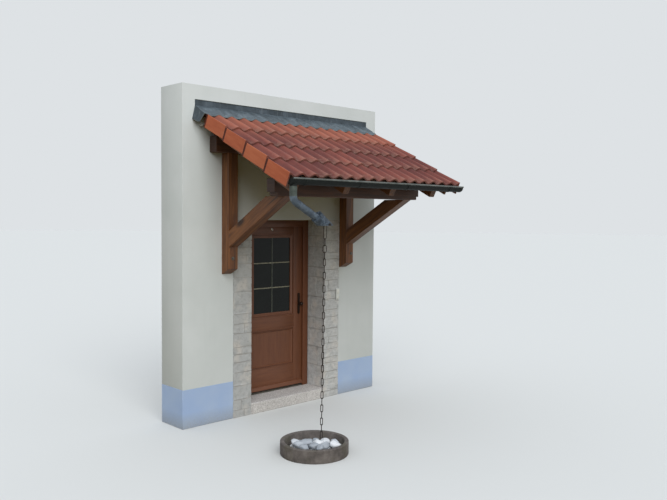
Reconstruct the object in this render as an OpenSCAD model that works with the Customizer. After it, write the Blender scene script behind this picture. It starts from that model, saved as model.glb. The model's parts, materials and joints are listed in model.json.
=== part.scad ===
// Timber entrance canopy with its doorway, in millimetres.
// The origin is on the ground line, in the middle of the doorway, at the wall's outer face.
// +X runs along the wall, +Y goes into the house and +Z is up.

/* [Doorway] */
// Clear width between the stone jambs
opening_w = 1060; // [840:10:1300]
// Height of the opening above the doorstep
opening_h = 2000; // [1900:10:2300]
// Depth of the recess in front of the door frame
recess_d = 272; // [200:1:310]
// Width of the stone facing on each side of the opening
jamb_w = 250; // [150:5:350]
// Thickness of the stone facing
jamb_t = 15; // [10:1:30]
// Height of the doorstep above the ground line
step_h = 120; // [60:5:180]

/* [Wall] */
// Thickness of the masonry wall
wall_t = 400; // [365:5:500]
// Wall kept beyond each side of the roof
wall_past_roof = 170; // [80:10:400]
// Wall kept above the flashing
wall_past_flashing = 150; // [60:10:400]
// Height of the painted plinth above the ground line
plinth_h = 400; // [240:10:600]

/* [Roof] */
// Distance from the wall to the tails of the lowest tiles
eave_out = 1445; // [1200:5:1750]
// Height of the lowest tile tails above the ground line
eave_z = 2551; // [2440:1:2740]
// Slope of the roof in degrees
roof_pitch = 26.8; // [22:0.1:32]
// Rows of tiles between the eave and the flashing
courses = 4; // [3:1:5]
// Cover width that the tiles come close to
tile_cover_goal = 308; // [280:1:330]
// Overhang of the roof past the purlin ends
verge_over = 190; // [150:5:230]
// Length of the flashing on the slope
apron_len = 202; // [150:1:260]
// Height of the flashing on the wall
upstand_h = 61; // [40:1:120]

/* [Tiles] */
// Thickness of a clay tile
tile_t = 18; // [14:1:22]
// Height of a roll above the pan
roll_h = 32; // [26:1:40]
// Overlap of a tile on the one below
tile_lap = 70; // [55:1:90]
// Height of a verge tile's hanging flap
flap_h = 135; // [115:1:150]
// Thickness of the hanging flap
flap_t = 15; // [10:1:20]

/* [Timber] */
// Width of posts, braces and purlins
timber_w = 120; // [90:5:140]
// Depth of the braces, square to their length
brace_d = 146; // [110:2:160]
// Angle of the braces above level, in degrees
brace_angle = 30; // [25:1:38]
// Depth of the purlins
purlin_d = 165; // [130:5:190]
// Distance from the wall to the front purlin's outer face
purlin_out = 1020; // [850:5:1150]
// Gap between a jamb's facing and the post beside it
post_gap = 17; // [5:1:60]
// Length of a purlin past the outer side of a post
purlin_past_post = 125; // [90:5:180]
// Length of a post below the foot of its brace
post_tail = 285; // [150:5:350]
// Rise of the slanted cut under a post
post_cut = 58; // [30:1:80]
// Width of a rafter
rafter_w = 80; // [60:5:100]
// Depth of a rafter
rafter_d = 110; // [90:5:130]
// Depth of the notch that seats a rafter on a purlin
notch_h = 25; // [15:1:35]

/* [Gutter and chain] */
// Inner radius of the half-round gutter
gutter_r = 53; // [46:1:58]
// Distance from the tile tails out to the gutter's front rim
gutter_past_tails = 21; // [10:1:40]
// Height of the gutter rim below the tile tails
gutter_drop = 51; // [45:1:60]
// Length of the gutter past the right-hand verge
gutter_past_verge = 28; // [10:1:60]
// Outer radius of the rainwater pipe
pipe_r = 34; // [27:1:38]
// Distance of the outlet from the gutter's left end
outlet_in = 48; // [45:1:200]
// Height from the gutter rim down to the corner of the pipe's axis
spout_drop = 191; // [165:1:260]
// Fall of the pipe below level, in degrees
spout_fall = 29; // [15:1:40]
// Length of the pipe's axis from its corner to the end piece
spout_run = 306; // [200:1:450]
// Wire diameter of a chain link
wire_d = 7; // [6:0.5:8]
// Pitch of the chain
link_pitch = 61.5; // [50:0.5:80]
// Sideways lean of the chain, in degrees
chain_lean = 0.85; // [0:0.05:2]
// Outer radius of the basin ring
basin_r = 315; // [260:5:400]
// Wall thickness of the basin ring
basin_t = 40; // [30:1:60]
// Height of the basin ring
basin_h = 120; // [80:1:180]

/* [Door] */
// Depth of the door frame, front to back
frame_d = 70; // [60:1:88]
// Visible width of the door frame
frame_w = 80; // [60:1:100]
// Thickness of the door leaf
leaf_t = 68; // [56:1:78]
// Width of a stile
stile_w = 130; // [110:1:180]
// Height of the top rail
top_rail_h = 80; // [70:1:150]
// Height of the bottom rail
bottom_rail_h = 257; // [200:1:320]
// Height of the lock rail between glass and panel
lock_rail_h = 146; // [110:1:220]
// Height of the lower panel
panel_h = 444; // [350:1:500]
// Columns of panes
pane_columns = 2; // [1:1:3]
// Rows of panes
pane_rows = 3; // [2:1:4]

/* [Hidden] */

render_c = "#cfccc0";
plinth_c = "#a9c0dc";
stone_c = "#a59f94";
timber_c = "#6b4128";
door_c = "#5f3a29";
tile_c = "#9c4a38";
verge_c = "#b0603f";
zinc_c = "#4b5a60";
iron_c = "#3a322c";

eps = 1;
gap = 0.3;
full = 6000;

// The timberwork sits this far to one side of the doorway's middle
canopy_shift = -10;

// Widths from the doorway outwards
masonry_half = opening_w / 2 + jamb_t;
jamb_out = opening_w / 2 + jamb_w;
post_in = jamb_out + post_gap;
post_x = post_in + timber_w / 2;
purlin_half = post_in + timber_w + purlin_past_post;
roof_half = purlin_half + verge_over;
wall_half = roof_half + wall_past_roof;
tiles_across = round(2 * roof_half / tile_cover_goal);
tile_cover = 2 * roof_half / tiles_across;
roll_pitch = tile_cover / 2;

// The slope: distances run up it from the tile tails, depths go down from the roll tops
slope_len = eave_out / cos(roof_pitch);
gauge = (slope_len - apron_len) / courses;
tile_len = gauge + tile_lap;
lap_gap = 0.8;
tile_tilt = asin((tile_t + lap_gap) / gauge);
tile_depth = tile_t + roll_h;
nib_back = 30;
nib_s = 14;
nib_y = tile_len - nib_back + gap + (tile_depth + 12) * sin(tile_tilt) + tile_len * (1 - cos(tile_tilt));
batten_w = 50;
batten_t = 36;
board_t = 22;
batten_top = tile_depth + (tile_len - nib_back) * sin(tile_tilt) + gap;
board_top = batten_top + batten_t;
rafter_top = board_top + board_t;
rafter_bottom = rafter_top + rafter_d;
eave_board_s = 76;
eave_board_w = 120;
rafter_tail_s = 111;
verge_board_s = 60;
verge_board_t = 24;
verge_board_d = 72;
verge_board_x = roof_half - 92;
batten_end = 22;
end_step = 35;
wall_purlin_more = 25;
top_batten_in = 62;
rafter_count = 4;

// Height of a depth under the slope, at a distance out from the wall
function slope_z(out, depth) =
    eave_z + (eave_out - out) * tan(roof_pitch) - depth / cos(roof_pitch);

// Timber heights follow from the slope
front_purlin_top = slope_z(purlin_out, rafter_bottom) + notch_h;
front_purlin_z = front_purlin_top - purlin_d;
wall_purlin_top = slope_z(timber_w, rafter_bottom) + notch_h;
wall_purlin_z = wall_purlin_top - purlin_d;
brace_foot_z = front_purlin_z - (purlin_out - timber_w) * tan(brace_angle);
post_z = brace_foot_z - post_tail;

// Flashing: the apron runs down from its fold to the rolls of the top course
sheet_t = 2;
fold_z = slope_z(0, 0) - 11;
upstand_z = fold_z + upstand_h;
apron_s = slope_len - apron_len;
apron_crest = (apron_s - (courses - 1) * gauge) * sin(tile_tilt);
apron_out = eave_out - apron_s * cos(roof_pitch) - apron_crest * sin(roof_pitch);
apron_z = slope_z(apron_out, apron_crest) + gap;
apron_slope = atan((fold_z - apron_z) / apron_out);
apron_flap = 98;
apron_flare = 15;
apron_left = roof_half + 22;
apron_right = roof_half + 3;
wall_h = upstand_z + wall_past_flashing;

// Gutter: it starts inside the left verge flap and passes under the right one
gutter_t = 2;
gutter_y = -(eave_out + gutter_past_tails) + gutter_r;
rim_z = eave_z - gutter_drop;
gutter_x0 = -roof_half + flap_t + 5;
gutter_x1 = roof_half + gutter_past_verge;
bead_r = 8;
bracket_w = 25;
bracket_t = 4;
bracket_xs = [for (i = [0:3]) (i - 1.5) * 2 * (roof_half - 190) / 3];

// Spout: down from the outlet, round a bend, along the run, into the wider end piece
pipe_t = 2;
outlet_x = gutter_x0 + outlet_in;
corner_z = rim_z - spout_drop;
bend_r = 60;
bend_turn = 90 - spout_fall;
bend_back = bend_r * tan(bend_turn / 2);
joint_gap = 0.4;

// End of the run, as [x, z], and the directions along it and square to it
run_dir = [cos(spout_fall), -sin(spout_fall)];
run_up = [sin(spout_fall), cos(spout_fall)];
run_end = [outlet_x, corner_z] + spout_run * run_dir;

// End piece: wider than the pipe, steeper by end_droop, and cut off nearly level
end_r = pipe_r + 24;
end_len = 137;
end_droop = 9;
end_fall = spout_fall + end_droop;
mouth_rise = 2;
end_dir = [cos(end_fall), -sin(end_fall)];
end_up = [sin(end_fall), cos(end_fall)];
end_at = run_end + 6 * run_dir + 12.5 * run_up;
mouth_at = end_at + end_len * end_dir;

// Chain: a bolt across the mouth, a long loop, then links down to the pebbles
bolt_in = 7;
bolt_off = 10;
bolt = mouth_at - bolt_in * end_dir + bolt_off * end_up;
nut_r = 11;
nut_t = 10;
bolt_d = 8;
loop_len = 150;
loop_w = 46;
loop_d = 6;
link_w = 27;
ring_w = 42;
chain_turn = -46;
stone_d = 92;
stone_flat = 0.5;
chain_foot = stone_d * stone_flat + 12;
chain_len = (bolt[1] - chain_foot) / cos(chain_lean);
loop_inner = loop_len - 2 * loop_d;
link_inner = link_pitch + gap;
first_link = bolt_d / 2 + 2 * gap - loop_inner - link_inner / 2;
link_count = 1 + floor((chain_len + first_link - link_inner / 2 - wire_d) / link_pitch);
basin_x = bolt[0] - bolt[1] * tan(chain_lean) - 90;
basin_y = gutter_y - 7;

// Door leaf
leaf_gap = 5;
leaf_side_gap = 8;
frame_lip = 13;
rebate_w = 17;
leaf_half = opening_w / 2 - frame_w + rebate_w - leaf_side_gap;
leaf_y = recess_d + frame_lip + leaf_gap;
sill_h = 18;
leaf_z = step_h + sill_h + leaf_gap;
leaf_top = step_h + opening_h - frame_w + rebate_w - leaf_gap;
panel_z = leaf_z + bottom_rail_h;
glass_z = panel_z + panel_h + lock_rail_h;
glass_top = leaf_top - (rebate_w - leaf_gap) - top_rail_h;
glass_half = leaf_half - (rebate_w - leaf_side_gap) - stile_w;
glass_t = 24;
glass_bead = 50;
panel_t = 30;
panel_bead = 36;
bead_out = 3;
bar_w = 12;
hinge_x = -leaf_half - 4;
hinge_y = leaf_y + leaf_t + 10;
knuckle_r = 8;
pin_r = 4.5;
pin_clear = 0.06;
knuckle_h = 50;
hinge_zs = [leaf_z + 200, (leaf_z + leaf_top) / 2, leaf_top - 200];
handle_x = leaf_half - (rebate_w - leaf_side_gap) - 55;
handle_z = step_h + 998;

// Places its children on the slope: x across, y up the slope, z square to it
module on_slope() {
    translate([0, -eave_out, eave_z])
        rotate([roof_pitch, 0, 0])
            children();
}

// A bar laid on the slope between two distances and two depths
module slope_bar(x0, x1, s0, s1, depth0, depth1) {
    on_slope()
        translate([x0, s0, -depth1])
            cube([x1 - x0, s1 - s0, depth1 - depth0]);
}

// Everything behind the wall's outer face
module behind_wall(clear = gap) {
    translate([-full / 2, -clear, 0])
        cube([full, full, full]);
}

// An outline of [out from the wall, height], swept from x0 to x1
module side_profile(points, x0, x1) {
    translate([x0, 0, 0])
        rotate([90, 0, 90])
            linear_extrude(x1 - x0)
                polygon([for (p = points) [-p[0], p[1]]]);
}

module wall_side(side) {
    x0 = side < 0 ? -wall_half : masonry_half;
    color(render_c)
        translate([x0, 0, plinth_h])
            cube([wall_half - masonry_half, wall_t, wall_h - plinth_h]);
}

module wall_left() {
    wall_side(-1);
}

module wall_right() {
    wall_side(1);
}

module wall_over_door() {
    z0 = step_h + opening_h;
    color(render_c)
        translate([-masonry_half, 0, z0])
            cube([2 * masonry_half, wall_t, wall_h - z0]);
}

module plinth() {
    color(plinth_c)
        for (x0 = [-wall_half, masonry_half])
            translate([x0, 0, 0])
                cube([wall_half - masonry_half, wall_t, plinth_h]);
}

module doorstep() {
    color(stone_c) {
        translate([-masonry_half, 0, 0])
            cube([2 * masonry_half, wall_t, step_h]);
        translate([-opening_w / 2, -jamb_t, 0])
            cube([opening_w, jamb_t + eps, step_h]);
    }
}

// Facing that turns the corner: one leg on the wall, one in the reveal
module jamb_stone(side) {
    color(stone_c)
        mirror([side < 0 ? 1 : 0, 0, 0]) {
            translate([opening_w / 2, -jamb_t, 0])
                cube([jamb_w, jamb_t, step_h + opening_h]);
            translate([opening_w / 2, -jamb_t, step_h])
                cube([jamb_t, jamb_t + recess_d + frame_d, opening_h]);
        }
}

module jamb_stone_left() {
    jamb_stone(-1);
}

module jamb_stone_right() {
    jamb_stone(1);
}

// A frame bar's section, with the lip that covers the leaf's edge
module frame_section() {
    polygon([
        [0, 0], [frame_w, 0], [frame_w, frame_d], [rebate_w, frame_d],
        [rebate_w, frame_lip], [0, frame_lip]
    ]);
}

module door_frame() {
    z1 = step_h + opening_h;
    color(door_c) {
        for (m = [0, 1])
            mirror([m, 0, 0])
                translate([opening_w / 2 - frame_w, recess_d, step_h])
                    linear_extrude(opening_h)
                        frame_section();
        translate([-opening_w / 2 + frame_w - rebate_w, recess_d, z1 - frame_w])
            rotate([90, 0, 90])
                linear_extrude(opening_w - 2 * (frame_w - rebate_w))
                    polygon([
                        [0, 0], [frame_lip, 0], [frame_lip, rebate_w], [frame_d, rebate_w],
                        [frame_d, frame_w], [0, frame_w]
                    ]);
    }
}

module door_sill() {
    color("#8d8f90")
        side_profile(
            [
                [-recess_d - 2, step_h], [-recess_d - 2, step_h + 6],
                [-recess_d - frame_lip, step_h + sill_h],
                [-recess_d - frame_d, step_h + sill_h], [-recess_d - frame_d, step_h]
            ],
            -opening_w / 2 + frame_w + 1, opening_w / 2 - frame_w - 1
        );
}

// Lower knuckles with their pins, on arms screwed into the frame
module frame_hinges() {
    color(iron_c)
        for (z = hinge_zs) {
            translate([hinge_x, hinge_y, z - knuckle_h])
                cylinder(r = knuckle_r, h = knuckle_h, $fn = 32);
            translate([hinge_x, hinge_y, z - eps])
                cylinder(r = pin_r, h = knuckle_h - 4 + eps, $fn = 32);
            translate([hinge_x - 22, recess_d + frame_d, z - knuckle_h + 8])
                cube([18, hinge_y - recess_d - frame_d, knuckle_h - 16]);
        }
}

module post(side) {
    color(timber_c)
        side_profile(
            [
                [gap, post_z], [timber_w, post_z + post_cut],
                [timber_w, wall_purlin_z], [gap, wall_purlin_z]
            ],
            side * post_x + canopy_shift - timber_w / 2, side * post_x + canopy_shift + timber_w / 2
        );
}

module post_left() {
    post(-1);
}

module post_right() {
    post(1);
}

// A slanted strut from the post's front to the underside of the front purlin
module brace(side) {
    rise = brace_d / cos(brace_angle);
    head_in = purlin_out - rise / tan(brace_angle);
    color(timber_c)
        side_profile(
            [
                [timber_w, brace_foot_z], [purlin_out, front_purlin_z],
                [head_in, front_purlin_z], [timber_w, brace_foot_z + rise]
            ],
            side * post_x + canopy_shift - timber_w / 2, side * post_x + canopy_shift + timber_w / 2
        );
}

module brace_left() {
    brace(-1);
}

module brace_right() {
    brace(1);
}

module wall_purlin() {
    color(timber_c)
        translate([canopy_shift - purlin_half - wall_purlin_more, -timber_w, wall_purlin_z])
            cube([2 * (purlin_half + wall_purlin_more), timber_w - gap, purlin_d]);
}

// Front purlin, its ends stepped back along their lower corners
module front_purlin() {
    color(timber_c)
        difference() {
            translate([canopy_shift - purlin_half, -purlin_out, front_purlin_z])
                cube([2 * purlin_half, timber_w, purlin_d]);
            for (side = [-1, 1])
                translate([canopy_shift + side * purlin_half, -purlin_out - eps, front_purlin_z - eps])
                    translate([-end_step, 0, 0])
                        cube([2 * end_step, timber_w + 2 * eps, end_step + eps]);
        }
}

// Rafters with square-cut tails, notched over both purlins
module rafters() {
    spacing = (2 * purlin_half - rafter_w) / (rafter_count - 1);
    color(timber_c)
        difference() {
            for (i = [0:rafter_count - 1])
                slope_bar(
                    canopy_shift - purlin_half + i * spacing,
                    canopy_shift - purlin_half + i * spacing + rafter_w,
                    rafter_tail_s, slope_len + rafter_bottom, rafter_top, rafter_bottom
                );
            translate([-full / 2, -purlin_out, front_purlin_z])
                cube([full, timber_w, purlin_d]);
            translate([-full / 2, -timber_w, wall_purlin_z])
                cube([full, timber_w + eps, purlin_d]);
            behind_wall();
        }
}

module roof_boards() {
    half = verge_board_x - verge_board_t;
    color(timber_c)
        difference() {
            slope_bar(-half, half, eave_board_s, slope_len + board_top, board_top, rafter_top);
            behind_wall();
        }
}

module verge_boards() {
    color(timber_c)
        difference() {
            for (m = [0, 1])
                mirror([m, 0, 0])
                    slope_bar(
                        verge_board_x - verge_board_t, verge_board_x,
                        verge_board_s, slope_len + rafter_bottom, board_top, board_top + verge_board_d
                    );
            behind_wall();
        }
}

// Depth of the tiles' underside in the pans of the lowest course
function pan_depth(s) = tile_depth / cos(tile_tilt) + s * tan(tile_tilt) + gap;

// Wedge that lifts the lowest course, let in for the gutter brackets
module eave_board() {
    s0 = eave_board_s;
    s1 = eave_board_s + eave_board_w;
    color(timber_c)
        difference() {
            on_slope()
                translate([-verge_board_x, 0, 0])
                    rotate([90, 0, 90])
                        linear_extrude(2 * verge_board_x)
                            polygon([
                                [s0, -board_top], [s1, -board_top],
                                [s1, -pan_depth(s1)], [s0, -pan_depth(s0)]
                            ]);
            for (x = bracket_xs)
                on_slope()
                    translate([x - bracket_w / 2 - 0.5, s0 - eps, 0])
                        bracket_strip(s0 - eps, s1 + eps, bracket_w + 1, bracket_t + 0.5);
        }
}

// A flat strip just under the lowest tiles' pans
module bracket_strip(s0, s1, width, thick) {
    translate([0, -s0, 0])
        rotate([90, 0, 90])
            linear_extrude(width)
                polygon([
                    [s0, -pan_depth(s0) + gap], [s0, -pan_depth(s0) - thick],
                    [s1, -pan_depth(s1) - thick], [s1, -pan_depth(s1) + gap]
                ]);
}

module roof_battens() {
    half = roof_half - batten_end;
    color("#8a6a45")
        difference() {
            union() {
                for (i = [0:courses - 1]) {
                    s = i * gauge + tile_len - nib_back - batten_w;
                    slope_bar(-half, half, s, s + batten_w, batten_top, board_top);
                }
                s = slope_len - top_batten_in;
                slope_bar(-half, half, s, s + batten_w, batten_top, board_top);
            }
            behind_wall();
        }
}

// Height of the tile's upper face, with a roll at each verge
function wave(u) = -roll_h * (1 - cos(360 * u / roll_pitch)) / 2;

steps_per_roll = 12;

// Outline of a tile across its length, from u0 to u1
function tile_top(u0, u1) =
    let (n = round((u1 - u0) / roll_pitch * steps_per_roll))
    [for (i = [0:n]) let (u = u0 + (u1 - u0) * i / n) [u, wave(u)]];
function tile_bottom(u0, u1) =
    let (n = round((u1 - u0) / roll_pitch * steps_per_roll))
    [for (i = [n:-1:0]) let (u = u0 + (u1 - u0) * i / n) [u, wave(u) - tile_t]];

// A tile's own frame: x across from the left verge, y up from its tail, z square to it
module tile_frame(course) {
    on_slope()
        translate([-roof_half, course * gauge, 0])
            rotate([-tile_tilt, 0, 0])
                children();
}

// Lays an outline as a tile of one course, its tail resting on the tile below
module lay_tile(course) {
    tile_frame(course)
        translate([0, tile_len, 0])
            rotate([90, 0, 0])
                linear_extrude(tile_len)
                    children();
}

// The lugs under a tile's head that hook over its batten
module tile_nibs(course, us) {
    tile_frame(course)
        for (u = us)
            translate([u - 20, nib_y, -tile_depth - 12])
                cube([40, nib_s, 12 + tile_t / 2]);
}

// Tiles meet on the far side of a roll
tile_joint = 1;
joint_in = 46;
flap_len = gauge * cos(tile_tilt) - tile_joint;
function tile_left(k) = k * tile_cover + joint_in + tile_joint / 2;
function tile_right(k) = tile_left(k + 1) - tile_joint;

module tile_course(course) {
    color(tile_c)
        for (k = [1:tiles_across - 2]) {
            lay_tile(course)
                polygon(concat(
                    tile_top(tile_left(k), tile_right(k)), tile_bottom(tile_left(k), tile_right(k))
                ));
            tile_nibs(course, [k * tile_cover + 1.5 * roll_pitch]);
        }
}

module tile_course_1() {
    tile_course(0);
}

module tile_course_2() {
    tile_course(1);
}

module tile_course_3() {
    tile_course(2);
}

module tile_course_4() {
    tile_course(3);
}

// Takes the side flap off a tile's head, where the next course's flap hangs
module flap_cut(course, u) {
    tile_frame(course)
        translate([u, flap_len, -flap_h - eps])
            cube([flap_t + 2 * eps, tile_len, flap_h + 2 * eps]);
}

// Edge tiles: the flap hangs down outside the verge board
module verge_tiles_left() {
    u1 = tile_right(0);
    color(verge_c)
        for (course = [0:courses - 1]) {
            difference() {
                lay_tile(course)
                    polygon(concat(
                        [[0, -flap_h], [0, -4], [3, -1]], tile_top(flap_t, u1),
                        tile_bottom(flap_t, u1), [[flap_t, -flap_h]]
                    ));
                flap_cut(course, -eps);
            }
            tile_nibs(course, [1.5 * roll_pitch]);
        }
}

// The lowest flap on the right is cut out round the gutter
module verge_tiles_right() {
    u0 = tile_left(tiles_across - 1);
    u1 = 2 * roof_half;
    color(verge_c)
        for (course = [0:courses - 1]) {
            difference() {
                lay_tile(course)
                    polygon(concat(
                        tile_top(u0, u1 - flap_t), [[u1 - 3, -1], [u1, -4], [u1, -flap_h]],
                        [[u1 - flap_t, -flap_h]], tile_bottom(u0, u1 - flap_t)
                    ));
                flap_cut(course, u1 - flap_t - eps);
                if (course == 0)
                    along_gutter(roof_half - flap_t - 5, roof_half + 5)
                        gutter_room();
            }
            tile_nibs(course, [u1 - 1.5 * roll_pitch]);
        }
}

// The gutter's outline with a little room round it
module gutter_room() {
    difference() {
        circle(r = gutter_r + gutter_t + 4, $fn = 64);
        translate([-full / 2, 4])
            square([full, full]);
    }
    translate([-gutter_r - gutter_t / 2, 0])
        circle(r = bead_r + 4, $fn = 32);
}

// One folded sheet: upstand on the wall, apron on the tiles, a flap down each side
module wall_flashing() {
    color(zinc_c) {
        side_profile(
            [
                [gap, upstand_z], [gap + sheet_t, upstand_z], [gap + sheet_t, fold_z + sheet_t],
                [apron_out, apron_z + sheet_t], [apron_out, apron_z], [gap, fold_z - sheet_t]
            ],
            -apron_left, apron_right
        );
        apron_side(-1, apron_left, apron_flare);
        apron_side(1, apron_right, 0);
    }
}

// A flap folded down past the verge and flared outwards
module apron_side(side, half, flare) {
    len = apron_out / cos(apron_slope) + 80;
    difference() {
        translate([side * half, -apron_out, apron_z + sheet_t / 2])
            rotate([apron_slope, 0, 0])
                rotate([0, -side * flare, 0])
                    rotate([90, 0, 90])
                        translate([0, 0, side < 0 ? 0 : -sheet_t])
                            linear_extrude(sheet_t)
                                polygon([
                                    [0, 0], [0, -apron_flap], [45, -apron_flap - 16],
                                    [130, -apron_flap - 28], [len, -apron_flap - 42], [len, 0]
                                ]);
        behind_wall();
    }
}

// Half-disc whose straight side is the gutter's rim
module half_disc(r) {
    difference() {
        circle(r = r, $fn = 64);
        translate([-full / 2, 0])
            square([full, full]);
    }
}

// Places an outline of [towards the wall, up] at the gutter's axis and sweeps it along X
module along_gutter(x0, x1) {
    translate([x0, gutter_y, rim_z])
        rotate([90, 0, 90])
            linear_extrude(x1 - x0)
                children();
}

// Half-round trough with closed ends, a bead along its front rim and a hole for the outlet
module gutter() {
    color(zinc_c)
        difference() {
            union() {
                difference() {
                    along_gutter(gutter_x0, gutter_x1)
                        half_disc(gutter_r + gutter_t);
                    along_gutter(gutter_x0 + gutter_t, gutter_x1 - gutter_t)
                        circle(r = gutter_r, $fn = 64);
                }
                along_gutter(gutter_x0, gutter_x1)
                    translate([-gutter_r - gutter_t / 2, 0])
                        circle(r = bead_r, $fn = 32);
            }
            translate([outlet_x, gutter_y, rim_z - 2 * gutter_r])
                cylinder(r = pipe_r - 3 * pipe_t, h = 2 * gutter_r, $fn = 48);
        }
}

// Distance out from the wall of a point on the slope
function slope_out(s, depth) = eave_out - s * cos(roof_pitch) - depth * sin(roof_pitch);

// Flat steel hooks under the trough, with arms let into the eave board
module gutter_brackets() {
    back = -(gutter_y + gutter_r + gutter_t + 0.1);
    s1 = eave_board_s + eave_board_w - 10;
    d0 = pan_depth(eave_board_s - 12);
    d1 = pan_depth(s1);
    y1 = slope_out(s1, d1);
    y2 = slope_out(s1, d1 + bracket_t);
    color(iron_c)
        for (x = bracket_xs) {
            along_gutter(x - bracket_w / 2, x + bracket_w / 2)
                difference() {
                    half_disc(gutter_r + gutter_t + bracket_t);
                    circle(r = gutter_r + gutter_t + 0.1, $fn = 64);
                    translate([-gutter_r - gutter_t / 2, 0])
                        circle(r = bead_r + gap, $fn = 32);
                }
            side_profile(
                [
                    [back, rim_z - eps], [back, slope_z(back, d0)], [y1, slope_z(y1, d1)],
                    [y2, slope_z(y2, d1 + bracket_t)],
                    [back - bracket_t, slope_z(back - bracket_t, d0 + bracket_t)],
                    [back - bracket_t, rim_z - eps]
                ],
                x - bracket_w / 2, x + bracket_w / 2
            );
        }
}

// Short tube from the trough into the pipe, its top shaped to the trough
module gutter_outlet() {
    r = pipe_r - pipe_t - 0.4;
    z0 = rim_z - gutter_r - gutter_t - 46;
    color(zinc_c)
        difference() {
            translate([outlet_x, gutter_y, z0])
                tube(r, r - pipe_t, rim_z - z0);
            translate([outlet_x - 100, gutter_y, rim_z])
                rotate([0, 90, 0])
                    cylinder(r = gutter_r + gutter_t + 0.1, h = 200, $fn = 96);
        }
}

module tube(r_out, r_in, h) {
    difference() {
        cylinder(r = r_out, h = h, $fn = 48);
        translate([0, 0, -eps])
            cylinder(r = r_in, h = h + 2 * eps, $fn = 48);
    }
}

// Pipe that turns out of the outlet and falls towards the chain, with its wider end piece
module spout_pipe() {
    top = rim_z - gutter_r - gutter_t - 12;
    bottom = corner_z + bend_back;
    color(zinc_c) {
        translate([outlet_x, gutter_y, bottom + joint_gap])
            tube(pipe_r, pipe_r - pipe_t, top - bottom);
        translate([outlet_x + bend_r, gutter_y, bottom])
            rotate([0, 180, 0])
                rotate([90, 0, 0])
                    rotate_extrude(angle = bend_turn, $fn = 96)
                        translate([bend_r, 0])
                            ring_outline(pipe_r);
        translate([outlet_x, gutter_y, corner_z])
            rotate([0, 90 + spout_fall, 0])
                translate([0, 0, bend_back + joint_gap])
                    tube(pipe_r, pipe_r - pipe_t, spout_run + 30 - bend_back);
        end_piece();
    }
}

// The wider end piece: a tube closed by a plate round the pipe, open at its level mouth
module end_piece() {
    difference() {
        translate([end_at[0], gutter_y, end_at[1]])
            rotate([0, 90 + end_fall, 0])
                rotate_extrude($fn = 48)
                    polygon([
                        [0, 0], [end_r, 0], [end_r, 3 * end_len], [end_r - pipe_t, 3 * end_len],
                        [end_r - pipe_t, pipe_t], [0, pipe_t]
                    ]);
        translate([run_end[0], gutter_y, run_end[1]])
            rotate([0, 90 + spout_fall, 0])
                cylinder(r = pipe_r + gap, h = 120, center = true, $fn = 48);
        translate([mouth_at[0], gutter_y, mouth_at[1]])
            rotate([0, -mouth_rise, 0])
                translate([-500, -200, -800])
                    cube([1000, 400, 800]);
        translate([bolt[0], gutter_y, bolt[1]])
            rotate([90, 0, 0])
                cylinder(r = bolt_d / 2 + gap, h = 4 * end_r, center = true, $fn = 24);
    }
}

// Cross-section of a sheet tube
module ring_outline(r) {
    difference() {
        circle(r = r, $fn = 48);
        circle(r = r - pipe_t, $fn = 48);
    }
}

// A welded link standing on end in the XZ plane, measured by its hole's length
module chain_link(inner, width, wire) {
    r = (width - wire) / 2;
    half = (inner - width + 2 * wire) / 2;
    for (m = [0, 1])
        mirror([0, 0, m])
            translate([0, 0, half])
                rotate([90, 0, 0])
                    rotate_extrude(angle = 180, $fn = 48)
                        translate([r, 0])
                            circle(r = wire / 2, $fn = 16);
    for (x = [-r, r])
        translate([x, 0, -half])
            cylinder(r = wire / 2, h = 2 * half, $fn = 16);
}

// Turn of a link about the chain: it hangs square to the loop at first, and has slack twists
function link_turn(i) =
    chain_turn * min(1, (i + 1) / 4) + 90 * ((i + 1) % 2) + 13 * max(0, 2.5 - abs(i - 17));

// A bolt across the mouth, the long loop that hangs from it, and the links
module rain_chain() {
    bolt_half = end_r + gap + nut_t;
    color(iron_c) {
        translate([bolt[0], gutter_y, bolt[1]])
            rotate([90, 0, 0]) {
                cylinder(r = bolt_d / 2, h = 2 * bolt_half, center = true, $fn = 24);
                for (side = [-1, 1])
                    translate([0, 0, side * (bolt_half - nut_t / 2)])
                        cylinder(r = nut_r, h = nut_t, center = true, $fn = 6);
            }
        translate([bolt[0], gutter_y, bolt[1]])
            rotate([0, chain_lean, 0]) {
                translate([0, 0, bolt_d / 2 + gap - loop_inner / 2])
                    chain_link(loop_inner, loop_w, loop_d);
                for (i = [0:link_count - 1])
                    translate([0, 0, first_link - i * link_pitch])
                        rotate([0, 0, link_turn(i)])
                            chain_link(link_inner, i == 1 ? ring_w : link_w, wire_d);
            }
    }
}

module basin_ring() {
    color("#4c4c4a")
        translate([basin_x, basin_y, 0])
            difference() {
                cylinder(r = basin_r, h = basin_h, $fn = 96);
                translate([0, 0, -eps])
                    cylinder(r = basin_r - basin_t, h = basin_h + 2 * eps, $fn = 96);
            }
}

// A pebble, flattened and round in plan
module pebble(d) {
    h = d * stone_flat / 2;
    translate([0, 0, h])
        rotate_extrude($fn = 32)
            polygon([for (a = [-90:15:90]) [d / 2 * cos(a), h * sin(a)]]);
}

// Two rings of pebbles round the foot of the chain
module basin_stones() {
    r_outer = basin_r - basin_t - stone_d / 2 - 5;
    r_inner = r_outer - stone_d - 12;
    n_outer = floor(360 / (2 * asin((stone_d + 6) / 2 / r_outer)));
    n_inner = floor(360 / (2 * asin((stone_d + 6) / 2 / r_inner)));
    color("#b9b7b0")
        translate([basin_x, basin_y, 0]) {
            for (i = [0:n_outer - 1])
                rotate([0, 0, 360 * i / n_outer])
                    translate([r_outer, 0, 0])
                        pebble(stone_d * (0.9 + 0.1 * sin(137 * i)));
            for (i = [0:n_inner - 1])
                rotate([0, 0, 360 * i / n_inner])
                    translate([r_inner, 0, 0])
                        pebble(stone_d * (0.92 + 0.08 * cos(97 * i)));
        }
}

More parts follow.
